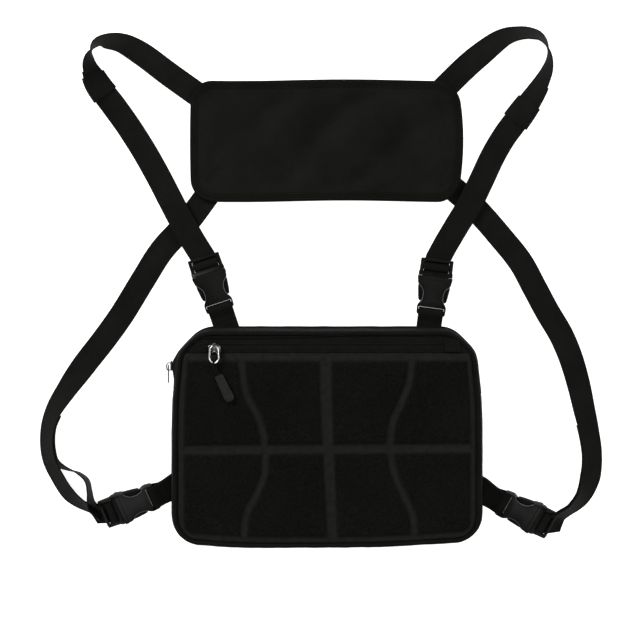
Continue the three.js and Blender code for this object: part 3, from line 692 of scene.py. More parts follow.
def openRun(start, end, step):
    # part of the outline, between two distances round it
    line = np.vstack([bagLine, bagLine, bagLine[:1]])
    s = lengthsOf(line)
    at = np.linspace(start, end, int(round((end - start) / step)) + 1)
    points = np.stack([np.interp(at, s, line[:, k]) for k in range(3)], 1)
    out = np.cross(tangentsOf(points), zUp)
    return points, unit(out), np.tile(zUp, (len(points), 1))


def distanceRound(side, y):
    # how far round the outline the wall reaches this height
    s = lengthsOf(np.vstack([bagLine, bagLine[:1]]))[:-1]
    mask = (bagLine[:, 0] * side > 100)
    index = np.where(mask)[0][np.argmin(np.abs(bagLine[mask, 1] - y))]
    return s[index]


perimeter = lengthsOf(np.vstack([bagLine, bagLine[:1]]))[-1]
zipStart = distanceRound(1, wall["rightEnd"])
zipEnd = distanceRound(-1, wall["leftEnd"])


def wallSection(z0, z1, rows, lip=0.0):
    # outer face from low to high, then back down the inner face
    zs = np.linspace(z0, z1, rows)
    outer = [(-wallInset(z) + lip * math.exp(-min(z - z0, z1 - z) / 1.2), z) for z in zs]
    inner = [(-wallInset(z) - wall["thick"], z) for z in zs[::-1]]
    return outer + inner


def crumple(piece, height, size=22, seed=0, flatZ=None):
    # soft unevenness of sewn cloth, across the wall
    mesh = piece.data
    for v in mesh.vertices:
        p = v.co / mm
        out = Vector((p.x, p.y * 1.2, 0)).normalized()
        broad = Vector((p.x / size, p.y / size, p.z / (size * 0.6)))
        n = noise.noise(broad + Vector((seed, 0, 0)))
        n += 0.5 * noise.noise(Vector((p.x / 7, p.y / 7, p.z / 9)) + Vector((0, seed, 0)))
        fade = 1.0
        if flatZ:
            fade = min(abs(p.z - flatZ[0]), abs(p.z - flatZ[1]), 5) / 5
        v.co += out * n * height * fade * mm
    mesh.update()
    return piece


def wallPiece(name, start, end, z0, z1, rows, node, lip=0.5, seed=0):
    points, out, up = openRun(start, end, bag["step"])
    piece = loft(name, points, out, up, wallSection(z0, z1, rows, lip))
    crumple(piece, wall["wrinkle"], seed=seed, flatZ=(z0, z1))
    return finished(piece, "root", packCloth, "pack_fabric", node)


def buildWalls():
    wallPiece("gusset_bottom", zipEnd + 0.4, perimeter + zipStart - 0.4, 4.6, 49.4, 20,
              "bottom_gusset", seed=3)
    wallPiece("gusset_rear_strip", zipStart, zipEnd, 4.6, wall["zipLow"] + 0.6, 10,
              "rear_zip_gusset", lip=0.7, seed=5)
    wallPiece("gusset_front_strip", zipStart, zipEnd, wall["zipHigh"] - 0.6, 49.4, 10,
              "front_zip_gusset", lip=0.7, seed=7)
    # the closed chain between the two strips: a tape, with the coil's teeth along it
    points, out, up = openRun(zipStart - 1, zipEnd + 1, wall["tooth"] / 2)
    low, high = wall["zipLow"] - 0.4, wall["zipHigh"] + 0.4
    middle = (low + high) / 2
    deep = -wallInset(middle) - 0.9
    coilShape = [(0, -2.4), (0.5, -2.1), (0.75, -1), (0.45, 0), (0.75, 1), (0.5, 2.1), (0, 2.4)]
    section = [(deep, low)] + [(deep + a, middle + b) for a, b in coilShape]
    section += [(deep, high), (deep - 0.9, high), (deep - 0.9, low)]
    chain = loft("main_zip", points, out, up, section)
    mesh = chain.data
    for v in mesh.vertices:
        p = v.co / mm
        if middle - 2.2 < p.z < middle + 2.2:
            k = int(np.argmin(((points[:, :2] - np.array(p[:2])) ** 2).sum(1)))
            side = 1 if p.z > middle else 0
            if (k + side) % 2:
                v.co -= Vector(out[k]) * 0.42 * mm
    mesh.update()
    finished(chain, "root", coil, "zip_coil", "main_zip_chain")
    lines = []
    for z in (wall["zipLow"] - 2.2, wall["zipHigh"] + 2.2):
        points, out, up = openRun(zipStart + 1, zipEnd - 1, 3)
        lines.append((points + out * (-wallInset(z) + 0.25) + zUp * z, out))
    sew("stitches_main_zip", lines, slot="pack_fabric")


buildWalls()
print("gusset and main zip")

edgeTape = {"width": 3.4, "height": 5.3, "pipe": 2.15, "pipeInset": 7.1, "pipeZ": 51.4}


def buildEdges():
    up = np.tile(zUp, (len(bagLine), 1))
    # rear seam, bound in tape
    section = [(a - edgeTape["width"] / 2 - 0.1, b + edgeTape["height"] / 2)
               for a, b in roundedSection(edgeTape["width"], edgeTape["height"], 1.5, 3)]
    tape = loft("rear_edge_tape", bagLine, bagOut, up, section, closedPath=True)
    crumple(tape, 0.2, 12, seed=11)
    finished(tape, "root", tapeCloth, "pack_fabric", "rear_binding")
    lines = [(np.vstack([bagLine, bagLine[:1]]) - np.vstack([bagOut, bagOut[:1]]) * 1.7
              + zUp * (edgeTape["height"] + 0.05), np.vstack([up, up[:1]]))]
    sew("stitches_rear_edge", lines, slot="pack_fabric")
    # corded piping round the front, with its flange
    section = []
    for k in range(12):
        a = math.radians(30 * k)
        section.append((-edgeTape["pipeInset"] + edgeTape["pipe"] * math.cos(a),
                        edgeTape["pipeZ"] + edgeTape["pipe"] * 0.95 * math.sin(a)))
    pipe = loft("front_piping_cord", bagLine, bagOut, up, section, closedPath=True)
    crumple(pipe, 0.16, 9, seed=13)
    finished(pipe, "root", packCloth, "pack_fabric", "front_piping")
    # narrow ditch of cloth between the piping and the moulded front
    section = [(-9.0, 51.3), (-8.2, 50.9), (-12, 49.3), (-12, 50.4), (-10.4, 50.9)]
    ditch = loft("front_seam", bagLine, bagOut, up, section, closedPath=True)
    finished(ditch, "root", packCloth, "pack_fabric")


buildEdges()
print("binding and piping")

# moulded front: loop pile with channels pressed into it
front = {"edge": 84.4, "pileTop": 77.2, "pileSide": 140.4, "pileBottom": -90.6, "inset": 9.6,
         "top": 55.0, "channel": 53.4, "rim": 51.7, "shoulder": 3.6,
         "crossY": -9.3, "crossWidth": 7.6, "uprightWidth": 9.6, "curveWidth": 5.4}
leftWaist = [(-84.6, 84), (-84.2, 76.3), (-79.1, 45.5), (-67.8, 23), (-62.6, 6.5), (-61.2, -5.8),
             (-60.2, -18.1), (-61.6, -34.5), (-69.8, -54.9), (-79.1, -73.5), (-81.4, -98)]
rightWaist = [(82.8, 84), (82.4, 76.1), (79.9, 55.7), (71.7, 35.3), (63.5, 16.7), (61.3, -1.7),
              (62.3, -18.1), (66.6, -36.6), (75.8, -57.1), (83.1, -73.5), (85.4, -98)]
upright = [(-1.6, 84), (-1.2, 40), (1, -10), (3.4, -60), (5, -98)]


def frontField(x, y):
    # how far inside the pile a point is, from its nearest pressed line
    inside = np.minimum(front["pileSide"] - np.abs(x), front["pileTop"] - y)
    inside = np.minimum(inside, y + bagBow(x) - front["pileBottom"])
    # rounded lower corners
    r = 11
    cx, cy = front["pileSide"] - r, front["pileBottom"] + r
    corner = (np.abs(x) > cx) & (y < cy)
    inside = np.where(corner, np.minimum(inside, r - np.hypot(np.abs(x) - cx, y - cy)), inside)
    inside = np.minimum(inside, np.abs(y - front["crossY"] - 0.006 * x) - front["crossWidth"] / 2)
    for line, width in ((leftWaist, front["curveWidth"]), (rightWaist, front["curveWidth"]),
                        (upright, front["uprightWidth"])):
        path, _ = catmull([(a, b) for a, b in line], 10)
        order = np.argsort(path[:, 1])
        middle = np.interp(y, path[order, 1], path[order, 0])
        slope = np.gradient(path[order, 0], path[order, 1])
        lean = 1 / np.sqrt(1 + np.interp(y, path[order, 1], slope) ** 2)
        half = width / 2 * (1 + (0.12 if width > 8 else 0) * np.clip(y / 80, -1, 1))
        inside = np.minimum(inside, np.abs(x - middle) * lean - half)
    return inside


def buildFront():
    rng = np.random.default_rng(4)
    columns, rows = 292, 196
    masks = {}

    def place(u, v):
        bottom = -bag["height"] / 2 + bag["bottomBow"] + front["inset"]
        x, y = bagPlane(front["inset"], bottom, front["edge"], u, v)
        inside = frontField(x, y)
        rise = step01(inside, -0.4, front["shoulder"])
        pillow = np.clip(inside / 26, 0, 1)
        z = front["channel"] + (front["top"] - front["channel"]) * rise * (0.86 + 0.14 * pillow)
        z += step01(inside, 0.6, 2.2) * rng.normal(0, 0.10, len(x))
        # the rim rolls over at its outer edge and along the top
        edge = np.minimum(bagHalf(y, front["inset"]) - np.abs(x), front["edge"] - y)
        edge = np.minimum(edge, y + bagBow(x) - bottom)
        rim = front["rim"] + 0.5 * np.exp(-((edge - 2.6) / 1.6) ** 2)
        z = np.where(inside < -0.4, rim + (front["channel"] - front["rim"])
                     * step01(-inside, 5.2, 1.2), z)
        inner = (np.abs(x) < front["pileSide"]) & (y < front["pileTop"]) & (inside < -0.4)
        z = np.where(inner, front["channel"] - 0.35 * np.clip(-inside / 3, 0, 1), z)
        z -= 1.3 * (1 - np.clip(edge / 1.4, 0, 1)) ** 2
        z += ripple(np.stack([x, y, 0 * x], 1), 60, 0.35, 2)
        masks["pile"] = step01(inside, -1.7, 2.9)
        return np.stack([x, y, z], 1)

    piece = gridPiece("moulded_front", columns, rows, place, (292, 196))
    attribute = piece.data.attributes.new("pile", "FLOAT", "POINT")
    attribute.data.foreach_set("value", masks["pile"].astype(np.float32))
    withModifier(piece, "SOLIDIFY", thickness=1.6 * mm, offset=-1)
    smooth(piece, 60)
    finished(piece, "root", pile, "loop_pile", "loop_panel", "front_backing", "front_frame")


buildFront()
print("moulded front")

# cloth above the front zip, its chain and its end tab
zipTop = {"seam": 99.9, "chainY": 88.4, "chainLeft": -118, "chainRight": 117, "z": 51.7,
          "fold": 1.0, "recess": 1.2, "tooth": 1.3}


def buildZipSurround():
    top = bag["height"] / 2 - front["inset"]

    def place(u, v):
        x, y = bagPlane(front["inset"], front["edge"] + 0.35, top, u, v)
        seam = zipTop["seam"] + 0.012 * (x - 20) + 0.5 * np.sin(x / 37)
        z = zipTop["z"] - 0.5 + zipTop["fold"] * step01(y, seam - 0.25, seam + 0.5)
        z -= 0.5 * np.exp(-((y - seam + 0.7) / 0.6) ** 2)
        z -= 0.6 * np.clip((y - seam - 3) / 6, 0, 1) ** 2
        inZip = (x > zipTop["chainLeft"] - 1) & (x < zipTop["chainRight"] + 1)
        z -= np.where(inZip, zipTop["recess"] * (1 - step01(y, 91.2, 92.6)), 0)
        edge = bagHalf(y, front["inset"]) - np.abs(x)
        z -= 1.6 * (1 - np.clip(np.minimum(edge, top - y) / 1.6, 0, 1)) ** 2
        z += ripple(np.stack([x * 0.6, y * 1.6, 0 * x], 1), 18, 0.28, 8)
        return np.stack([x, y, z], 1)

    piece = gridPiece("zip_panel", 280, 44, place, (292, 26))
    withModifier(piece, "SOLIDIFY", thickness=1.0 * mm, offset=-1)
    smooth(piece, 60)
    finished(piece, "root", flatCloth, "pack_fabric", "zip_surround")
    # the chain: two rows of coil turns that mesh along its middle, on a narrow tape
    left, right, y0 = zipTop["chainLeft"], zipTop["chainRight"], zipTop["chainY"]
    path = np.stack([np.linspace(left, right, int((right - left) / (zipTop["tooth"] / 2)) + 1),
                     np.full(int((right - left) / (zipTop["tooth"] / 2)) + 1, y0),
                     np.full(int((right - left) / (zipTop["tooth"] / 2)) + 1, 50.1)], 1)
    side = np.tile([0.0, 1.0, 0.0], (len(path), 1))
    up = np.tile(zUp, (len(path), 1))
    section = [(3.4, 0), (3.4, 0.7), (1.9, 0.8), (1.6, 1.25), (0.5, 1.45), (0, 1.15), (-0.5, 1.45),
               (-1.6, 1.25), (-1.9, 0.8), (-3.6, 0.7), (-3.6, 0)]
    chain = loft("front_zip", path, side, up, section)
    for v in chain.data.vertices:
        p = v.co / mm
        if p.z > 51.2 and abs(p.y - y0) > 0.2:
            k = int(round((p.x - left) / (zipTop["tooth"] / 2))) + (1 if p.y > y0 else 0)
            if k % 2:
                v.co.z -= 0.5 * mm
    chain.data.update()
    finished(chain, "root", coil, "zip_coil", "front_zip_chain")
    # folded cloth over the closed end
    x0, x1, ya, yb = 116.4, 134.8, 84.9, 98.4

    def patch(u, v):
        x, y = x0 + (x1 - x0) * u, ya + (yb - ya) * v
        edge = np.minimum(np.minimum(x - x0, x1 - x), np.minimum(y - ya, yb - y))
        z = 52.0 + 0.95 * np.clip(edge / 0.7, 0, 1) ** 0.5 + 0.25 * np.sin(x / 2.7)
        return np.stack([x, y, z], 1)

    tab = gridPiece("zip_end_patch", 26, 20, patch, (18, 14))
    withModifier(tab, "SOLIDIFY", thickness=0.7 * mm, offset=-1)
    smooth(tab)
    finished(tab, "root", flatCloth, "pack_fabric", "zip_end_tab")
    xs = np.linspace(-132, 116, 60)
    ys = 93.4 + 0 * xs
    lines = [(np.stack([xs, ys, 0 * xs + 51.45], 1), np.tile(zUp, (60, 1)))]
    ys = zipTop["seam"] + 0.012 * (xs - 20) + 0.5 * np.sin(xs / 37) + 1.5
    lines.append((np.stack([xs, ys, 0 * xs + 52.35], 1), np.tile(zUp, (60, 1))))
    xs = np.linspace(left + 8, right - 1, 60)
    lines.append((np.stack([xs, 0 * xs + y0 + 0.9, 0 * xs + 51.6], 1), np.tile(zUp, (60, 1))))
    corners = [(x0 + 1.2, ya + 1), (x0 + 1.2, yb - 1)]
    lines.append((np.array([(*c, 53.05) for c in corners]), np.tile(zUp, (2, 1))))
    sew("stitches_front_zip", lines, slot="pack_fabric")


buildZipSurround()
print("front zip")


# padded rear of the pack
def buildRear():
    bottom = -bag["height"] / 2 + bag["bottomBow"] + 2.6
    top = bag["height"] / 2 - 2.6

    def place(u, v):
        x, y = bagPlane(2.6, bottom, top, u, v)
        edge = np.minimum(bagHalf(y, 2.6) - np.abs(x), np.minimum(top - y, y + bagBow(x) - bottom))
        z = 2.6 * (1 - np.clip(edge / 14, 0, 1)) ** 2
        # two sewn channels part the pad into three
        for line in (-52.0, 52.0):
            z += 1.7 * np.exp(-((x - line) / 2.6) ** 2) * step01(edge, 2, 12)
        return np.stack([x, y, z + 0.02], 1)

    pad = gridPiece("rear_pad", 130, 96, place, (306, 216))
    editAll(pad)
    bpy.ops.mesh.flip_normals()
    bpy.ops.object.mode_set(mode="OBJECT")
    withModifier(pad, "SOLIDIFY", thickness=3.5 * mm, offset=-1)
    smooth(pad, 60)
    finished(pad, "root", spacerMesh, "spacer_mesh", "rear_panel", "rear_foam", "rear_lining",
             "pocket_divider")
    lines = []
    for x in (-52.0, 52.0):
        ys = np.linspace(-92, 96, 40)
        lines.append((np.stack([0 * ys + x, ys, 0 * ys + 1.45], 1), np.tile(-zUp, (40, 1))))
    sew("stitches_rear_pad", lines, slot="spacer_mesh")


buildRear()
settleBag("gusset_bottom", "gusset_rear_strip", "gusset_front_strip", "main_zip",
          "stitches_main_zip", "rear_edge_tape", "stitches_rear_edge", "front_piping_cord",
          "front_seam", "moulded_front", "zip_panel", "front_zip", "zip_end_patch",
          "stitches_front_zip", "rear_pad", "stitches_rear_pad")
print("rear pad")

# back panel between the shoulders
panel = {"x": -0.7, "y": 295.8, "width": 273, "height": 120.5, "corner": 22, "binding": 9.2,
         "face": 7.0, "crown": 1.0, "bow": (1.1, 5.8), "draw": (1.4, 5.4), "fold": 3.3,
         "foldPitch": 60, "foldAt": 10.2}


def sideBow(x, y):
    # how far each side of the panel stands out from a straight line
    full = np.clip(1 - (y / (panel["height"] / 2 - 4)) ** 2, 0, 1)
    left, right = (bow * full - draw for bow, draw in zip(panel["bow"], panel["draw"]))
    return np.where(x > 0, right, -left) * np.clip((np.abs(x) - 80) / 56, 0, 1)


def panelEdge(step=2.5):
    # rounded rectangle whose sides bow a little, as sewn cloth does
    w, h, r = panel["width"] / 2, panel["height"] / 2, panel["corner"]
    points = []
    for cx, cy, start in ((1, -1, -90), (1, 1, 0), (-1, 1, 90), (-1, -1, 180)):
        for a in range(start, start + 91, 6):
            points.append((cx * (w - r) + r * math.cos(math.radians(a)),
                           cy * (h - r) + r * math.sin(math.radians(a)), 0))
    points = np.array(points + points[:1], float)
    points, = evenly(points, step)
    points = points[:-1]
    x, y = points[:, 0], points[:, 1]
    moved = sideBow(x, y)
    points[:, 1] += 0.8 * np.sin(x / 34 + 1) * np.clip((np.abs(y) - 30) / 30, 0, 1)
    points[:, 1] -= 0.7 * (y < -30)
    points[:, 0] += moved
    points[:, 0] += panel["x"]
    points[:, 1] += panel["y"]
    return points


panelLine = panelEdge()
panelOut = np.cross(tangentsOf(panelLine, closed=True), zUp)


def diagonalFolds(x, y):
    # soft folds that run from lower left to upper right, with their own ups and downs
    a, b = x * 0.695 - y * 0.719, x * 0.719 + y * 0.695
    drift = 3.5 * np.sin(b / 33 + 0.6)
    turn = 2 * math.pi * (a + drift - panel["foldAt"]) / panel["foldPitch"]
    z = panel["fold"] * (np.sin(turn) + 0.22 * np.sin(2 * turn + 0.9)) \
        * (0.62 + 0.38 * np.sin(b / 36 + a / 70 + 0.9))
    z += 0.5 * np.sin(a / 6.6 + b / 48 + 0.7) * (0.5 + 0.5 * np.sin(b / 23 - a / 37))
    z += ripple(np.stack([x, y * 1.4, 0 * x], 1), 19, 0.55, 21)
    z += ripple(np.stack([x, y, 0 * x], 1), 6, 0.14, 22)
    return z


def buildPanel():
    w, h = panel["width"] / 2 - 5.5, panel["height"] / 2 - 5.5
    r = panel["corner"] - 5.5

    def flatPlace(u, v):
        y = (2 * v - 1) * h
        cut = r - np.sqrt(np.maximum(r ** 2 - np.clip(np.abs(y) - (h - r), 0, r) ** 2, 0))
        x = (2 * u - 1) * (w - cut)
        side = np.minimum(w - cut - np.abs(x), h - np.abs(y))
        return x + sideBow(x, y), y - 0.7 * step01(-y, 20, 50), side

    def place(u, v):
        x, y, side = flatPlace(u, v)
        loose = step01(side, 3.5, 20)
        z = panel["face"] - 0.9 + 0.5 * step01(side, 0, 4) + panel["crown"] * step01(side, 4, 40)
        z += diagonalFolds(x, y) * loose
        return np.stack([x + panel["x"], y + panel["y"], z], 1)

    face = gridPiece("panel_face_cloth", 240, 108, place, (262, 110))
    withModifier(face, "SOLIDIFY", thickness=2.4 * mm, offset=-1)
    smooth(face, 60)
    finished(face, "root", panelCloth, "pack_fabric", "panel_face", "panel_foam")

    def under(u, v):
        x, y, side = flatPlace(u, v)
        z = 1.4 * (1 - step01(side, 0, 8)) + 0.02 + 0.5 * step01(side, 6, 30) \
            * (1 + np.sin(x / 14) * np.sin(y / 17)) * 0.5
        return np.stack([x + panel["x"], y + panel["y"], z], 1)

    back = gridPiece("panel_rear_mesh_cloth", 110, 50, under, (262, 110))
    editAll(back)
    bpy.ops.mesh.flip_normals()
    bpy.ops.object.mode_set(mode="OBJECT")
    withModifier(back, "SOLIDIFY", thickness=1.4 * mm, offset=-1)
    smooth(back, 60)
    finished(back, "root", spacerMesh, "spacer_mesh", "panel_rear_mesh")
    # folded tape over the edge: a lap on the face, round the rim, a lap behind
    b = panel["binding"]
    section = [(-b, 5.9), (-b + 0.4, 6.6), (-b / 2, 6.95), (-2, 6.8), (-0.6, 6.1), (-0.1, 4.8),
               (0, 3.4), (-0.2, 1.9), (-0.9, 0.7), (-2.2, 0.15), (-b / 2, 0.1), (-b + 0.3, 0.3),
               (-b, 0.9),
               (-b + 1, 1.6), (-3, 2.2), (-2, 3.4), (-3, 5), (-b + 1, 5.2)]
    up = np.tile(zUp, (len(panelLine), 1))
    tape = loft("panel_edge_tape", panelLine, panelOut, up, section, closedPath=True)
    for v in tape.data.vertices:
        p = v.co / mm
        k = noise.noise(Vector((p.x / 9, p.y / 9, 3)))
        v.co.z += 0.35 * k * mm * (1 if p.z > 3 else 0.2)
    tape.data.update()
    finished(tape, "root", tapeCloth, "pack_fabric", "panel_binding")
    ring = np.vstack([panelLine, panelLine[:1]])
    out = np.vstack([panelOut, panelOut[:1]])
    ups = np.tile(zUp, (len(ring), 1))
    lines = [(ring - out * (b - 1.5) + zUp * 6.88, ups), (ring - out * 2.4 + zUp * 6.9, ups),
             (ring - out * (b - 1.5) + zUp * 0.1, -ups)]
    # box and cross stitching where each strap is sewn in
    for cx, cy, turn in ((-118, 335, 37), (113, 334, -42), (-110, 258, 49), (113, 262, -47)):
        a = math.radians(turn)
        e1 = np.array([math.cos(a), math.sin(a), 0])
        e2 = np.array([-math.sin(a), math.cos(a), 0])
        c = np.array([cx, cy, 6.75])
        spots = [c + e1 * p * 9 + e2 * q * 8 for p, q in ((-1, -1), (1, -1), (1, 1), (-1, 1))]
        for i, j in ((0, 1), (1, 2), (2, 3), (3, 0), (0, 2), (3, 1)):
            lines.append((np.stack([spots[i], spots[j]]), np.tile(zUp, (2, 1))))
    sew("stitches_panel", lines, slot="pack_fabric", gap=3.0)


buildPanel()
print("back panel")

# buckles: where each stands, and the strap stations that lead to it
buckles = {
    "left_shoulder": {"at": (-106, 126.5, 7.1), "heading": 108.4, "tilt": 0, "flip": 1},
    "right_shoulder": {"at": (103, 121.5, 7.1), "heading": 82.6, "tilt": 0, "flip": 1},
    "left_side": {"at": (-170, -57.5, 14.6), "heading": 200.4, "tilt": -28, "flip": -1},
    "right_side": {"at": (172.5, -64, 14.6), "heading": -25.6, "tilt": 28, "flip": -1},
}
band = {"width": 25, "thick": 1.6, "step": 2, "fine": 3.0,
        "tail": {"left_shoulder": 205, "right_shoulder": 190, "right_side": 110}}
# x, y, lift and roll from the back panel down to the buckle
stations = {
    "left_shoulder": [(-124, 338, 0.9, 0), (-157, 361.5, 0.9, 0), (-187, 383.5, 0.9, 14),
                      (-205.5, 392.4, 0.9, 34), (-218.1, 393.8, 0.9, 44), (-228.2, 392, 0.9, 58),
                      (-232.5, 387.1, 0.9, 72), (-235.6, 379.8, 0.9, 100), (-236, 371.3, 2, 118),
                      (-233, 362.5, 3.2, 133), (-228.1, 351.7, 3.6, 150), (-212, 329.3, 3.6, 172),
                      (-198.9, 310.7, 3.6, 180), (-182.8, 285.4, 3.6, 180),
                      (-169.4, 261.7, 4.4, 180), (-156.8, 237.5, 5.7, 180),
                      (-144.5, 214, 5.9, 180), (-133.1, 194.3, 4.9, 180)],
    "right_shoulder": [(112, 343, 0.9, 0), (137.2, 367.8, 0.9, 0), (152, 380.5, 0.9, -12),
                       (175.9, 397.8, 0.9, -38), (189.6, 401.5, 0.9, -50),
                       (201.3, 401.8, 0.9, -55), (210.5, 399.1, 0.9, -60), (217, 392, 0.9, -73),
                       (220.4, 380, 1.4, -92), (218.5, 366.2, 2.4, -112),
                       (211.1, 350.1, 3.2, -130), (202.5, 335.9, 3.6, -146),
                       (190.5, 318.5, 3.6, -166), (177.3, 300.2, 3.6, -178),
                       (166, 281, 3.6, -180), (154.6, 256.9, 5.2, -180), (143, 233, 6, -180),
                       (129.2, 210.1, 5.8, -180), (118.5, 192, 4.9, -180)],
    "left_side": [(-114, 249, 0.9, 0), (-140.1, 213.8, 0.9, 0), (-165.2, 185.9, 0.9, 0),
                  (-184, 156.3, 0.9, 0), (-205, 122, 0.9, 0), (-222.5, 97.4, 0.9, 4),
                  (-242.9, 71, 1.4, 10), (-259.2, 47.3, 2.4, 32), (-273, 24, 3.2, 46),
                  (-278.5, 0, 3.4, 52), (-276.5, -21.5, 3.4, 52), (-267.5, -41, 3, 52),
                  (-256, -57.5, 2.2, 52), (-241.5, -67.5, 3, 64), (-230.5, -71.5, 5.5, 66)],
    "right_side": [(117, 256, 0.9, 0), (146.7, 229.6, 0.9, 0), (174.3, 198.5, 0.9, 0),
                   (193.5, 174.3, 0.9, 0), (206.8, 150, 0.9, 0), (219.9, 125.4, 0.9, 0),
                   (234.5, 100.3, 1.4, -4), (243.9, 76.7, 2.8, -10), (250.8, 52.2, 3.4, -16),
                   (256, 28.1, 3.6, -24), (261.2, 4.2, 3.6, -32), (264.2, -18, 3.6, -35),
                   (262.5, -40, 3.4, -33), (254.5, -60, 2.6, -50), (241, -73, 3, -66),
                   (230.5, -79.5, 5.5, -62)],
}
looseTail = [(-229.5, -74, 2.6, 66), (-234.5, -65, 1.4, 80), (-236, -54, 1.2, 86),
             (-238.5, -43, 1.2, 88), (-247, -35.5, 1.2, 92), (-259, -31, 1.2, 102),
             (-269.5, -25, 1.6, 114), (-275, -15, 2.2, 124), (-277, -2, 2.2, 128),
             (-275.6, 12, 2.2, 130), (-271.6, 24, 2.1, 134)]
threading = [(55.5, -2.7), (52.5, -1.6), (50.9, 1), (49.2, 2.9), (47.3, 3.2),
             (45, 2.6), (43.9, 0.8), (43.9, -1.2), (45.2, -3.3), (47.5, -4.3), (51, -4.8),
             (55, -4.9)]


def buckleMatrix(name):
    b = buckles[name]
    heading = Matrix.Rotation(math.radians(b["heading"]), 4, "Z")
    tilt = Matrix.Rotation(math.radians(b["tilt"]), 4, "X")
    return Matrix.Translation(Vector(b["at"])) @ heading @ tilt


def groundRun(spots, step=band["fine"]):
    # centre line and width direction of webbing that lies on the ground, rolled as it goes
    half = band["width"] / 2
    pts = [(x, y, lift + half * abs(math.sin(math.radians(roll)))) for x, y, lift, roll in spots]
    line, at = catmull(pts, 14)
    rolls = np.interp(at, np.arange(len(spots)), [s[3] for s in spots])
    line, rolls = evenly(line, step, rolls[:, None])
    rolls = np.radians(rolls[:, 0])
    flat = tangentsOf(line)
    flat[:, 2] = 0
    flat = unit(flat)
    wide = np.stack([-flat[:, 1] * np.cos(rolls), flat[:, 0] * np.cos(rolls), np.sin(rolls)], 1)
    return line, wide


def framed(line, wide):
    along = tangentsOf(line)
    wide = unit(wide - along * (wide * along).sum(1, keepdims=True))
    return line, wide, unit(np.cross(along, wide))


def strapRoute(name):
    main, wide = groundRun(stations[name])
    place = buckleMatrix(name)
    wrap, _ = catmull(threading, 4)
    wrap = np.array([place @ Vector((s, 0, z)) for s, z in wrap])
    across = np.array(place.to_3x3() @ Vector((0, buckles[name]["flip"], 0)))
    acrossAll = np.tile(across, (len(wrap), 1))
    line, wides, ups = framed(np.vstack([main, wrap]), np.vstack([wide, acrossAll]))
    run = (line[:len(main)], wides[:len(main)], ups[:len(main)])
    if name == "left_side":
        tail, tailWide = groundRun(looseTail)
        tailWide = -tailWide
    else:
        count = int(round(band["tail"][name] / band["fine"]))
        tail = (run[0] + run[2] * band["step"] * buckles[name]["flip"])[-count:][::-1]
        tailWide = run[1][-count:][::-1]
    line = np.vstack([main, wrap, tail])
    wides = np.vstack([wide, acrossAll, tailWide])
    return run, framed(line, wides)


def webbingSection(width, thick):
    # flat faces between two slightly thicker selvages
    half, t = width / 2, thick / 2
    top = [(half - 0.1, t * 0.5), (half - 0.5, t * 0.95), (half - 1.8, t), (half - 2.3, t * 0.86),
           (half * 0.4, t * 0.9), (0, t * 0.88)]
    right = top + [(-x, y) for x, y in reversed(top[:-1])]
    return right + [(-x, -y) for x, y in right]


def buildStraps():
    for name in buckles:
        run, (line, wides, ups) = strapRoute(name)
        wave = ripple(line + 5, 30, 0.5, 31)[:, None] * (1 - step01(
            np.arange(len(line)), len(run[0]) - 16, len(run[0]) - 4)
            * (1 - step01(np.arange(len(line)), len(run[0]) + 54, len(run[0]) + 66)))[:, None]
        # the first few stations stay under the panel's binding
        start = next(i for i, p in enumerate(line)
                     if abs(p[0] - panel["x"]) > panel["width"] / 2 - 6
                     or abs(p[1] - panel["y"]) > panel["height"] / 2 - 6) - 6
        line = (line + ups * wave)[max(start, 0):]
        strap = loft(name + "_webbing", line, wides[max(start, 0):], ups[max(start, 0):],
                     webbingSection(band["width"], band["thick"] * 0.94))
        strap.data.materials.clear()
        strap.data.materials.append(webbing)
        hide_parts(name + "_strap")
        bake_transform(strap)


buildStraps()
print("straps")


def buildTabs():
    loop = [(-36, 1), (-20, 1), (-7, 1), (-2.5, 2.4), (1, 3.3), (4.6, 2.9), (6.2, 1.3)]
    loop += [(s, -z) for s, z in reversed(loop)]
    for name in buckles:
        place = buckleMatrix(name)
        points, _ = catmull(loop, 5)
        # the side tabs spread a little where they are sewn into the gusset
        spread = step01(-points[:, 0], 5, 26) * (1 if name.endswith("side") else 0)
        line = np.array([place @ Vector((s, 0, z)) for s, z in points])
        across = np.array(place.to_3x3() @ Vector((0, 1, 0)))
        wides = np.tile(across, (len(line), 1))
        line, wides, ups = framed(line, wides)
        line[:, 1] += 2.5 * spread
        wides = wides * (1 + 0.16 * spread[:, None])
        tab = loft(name + "_loop", line, wides, ups, webbingSection(band["width"], 1.5))
        finished(tab, "root", webbing, "webbing", name + "_tab")
        # bar tacks just behind the socket's bar
        lines = []
        for s in (-10.5, -8.9):
            ends = [place @ Vector((s, y, 1.85)) for y in (-10.5, 10.5)]
            upward = np.tile(np.array(place.to_3x3() @ Vector((0, 0, 1))), (2, 1))
            lines.append((np.array([tuple(e) for e in ends]), upward))
        sew(name + "_bar_tacks", lines, gap=2.6)


buildTabs()


def buildKeepers():
    spots = {"left": ("left_shoulder", -228.5, 351.5), "right": ("right_shoulder", 194, 324)}
    for side, (name, x, y) in spots.items():
        run, _ = strapRoute(name)
        middle = run[0] + run[2] * band["step"] / 2
        at = int(np.argmin(np.hypot(middle[:, 0] - x, middle[:, 1] - y)))
        part = slice(at - 4, at + 5)
        line = run[0][part] + run[2][part] * band["step"] / 2
        fine, wides, ups = evenly(line, 1.5, run[1][part], run[2][part])
        sleeve = loft(side + "_sleeve", fine, unit(wides), unit(ups),
                      roundedSection(28.2, 6.4, 2.6, 4, 4), fillEnds=False)
        withModifier(sleeve, "SOLIDIFY", thickness=1.0 * mm, offset=-1)
        smooth(sleeve, 50)
        finished(sleeve, side + "_keeper", webbing, "webbing", side + "_keeper")


buildKeepers()
print("tabs and keepers")

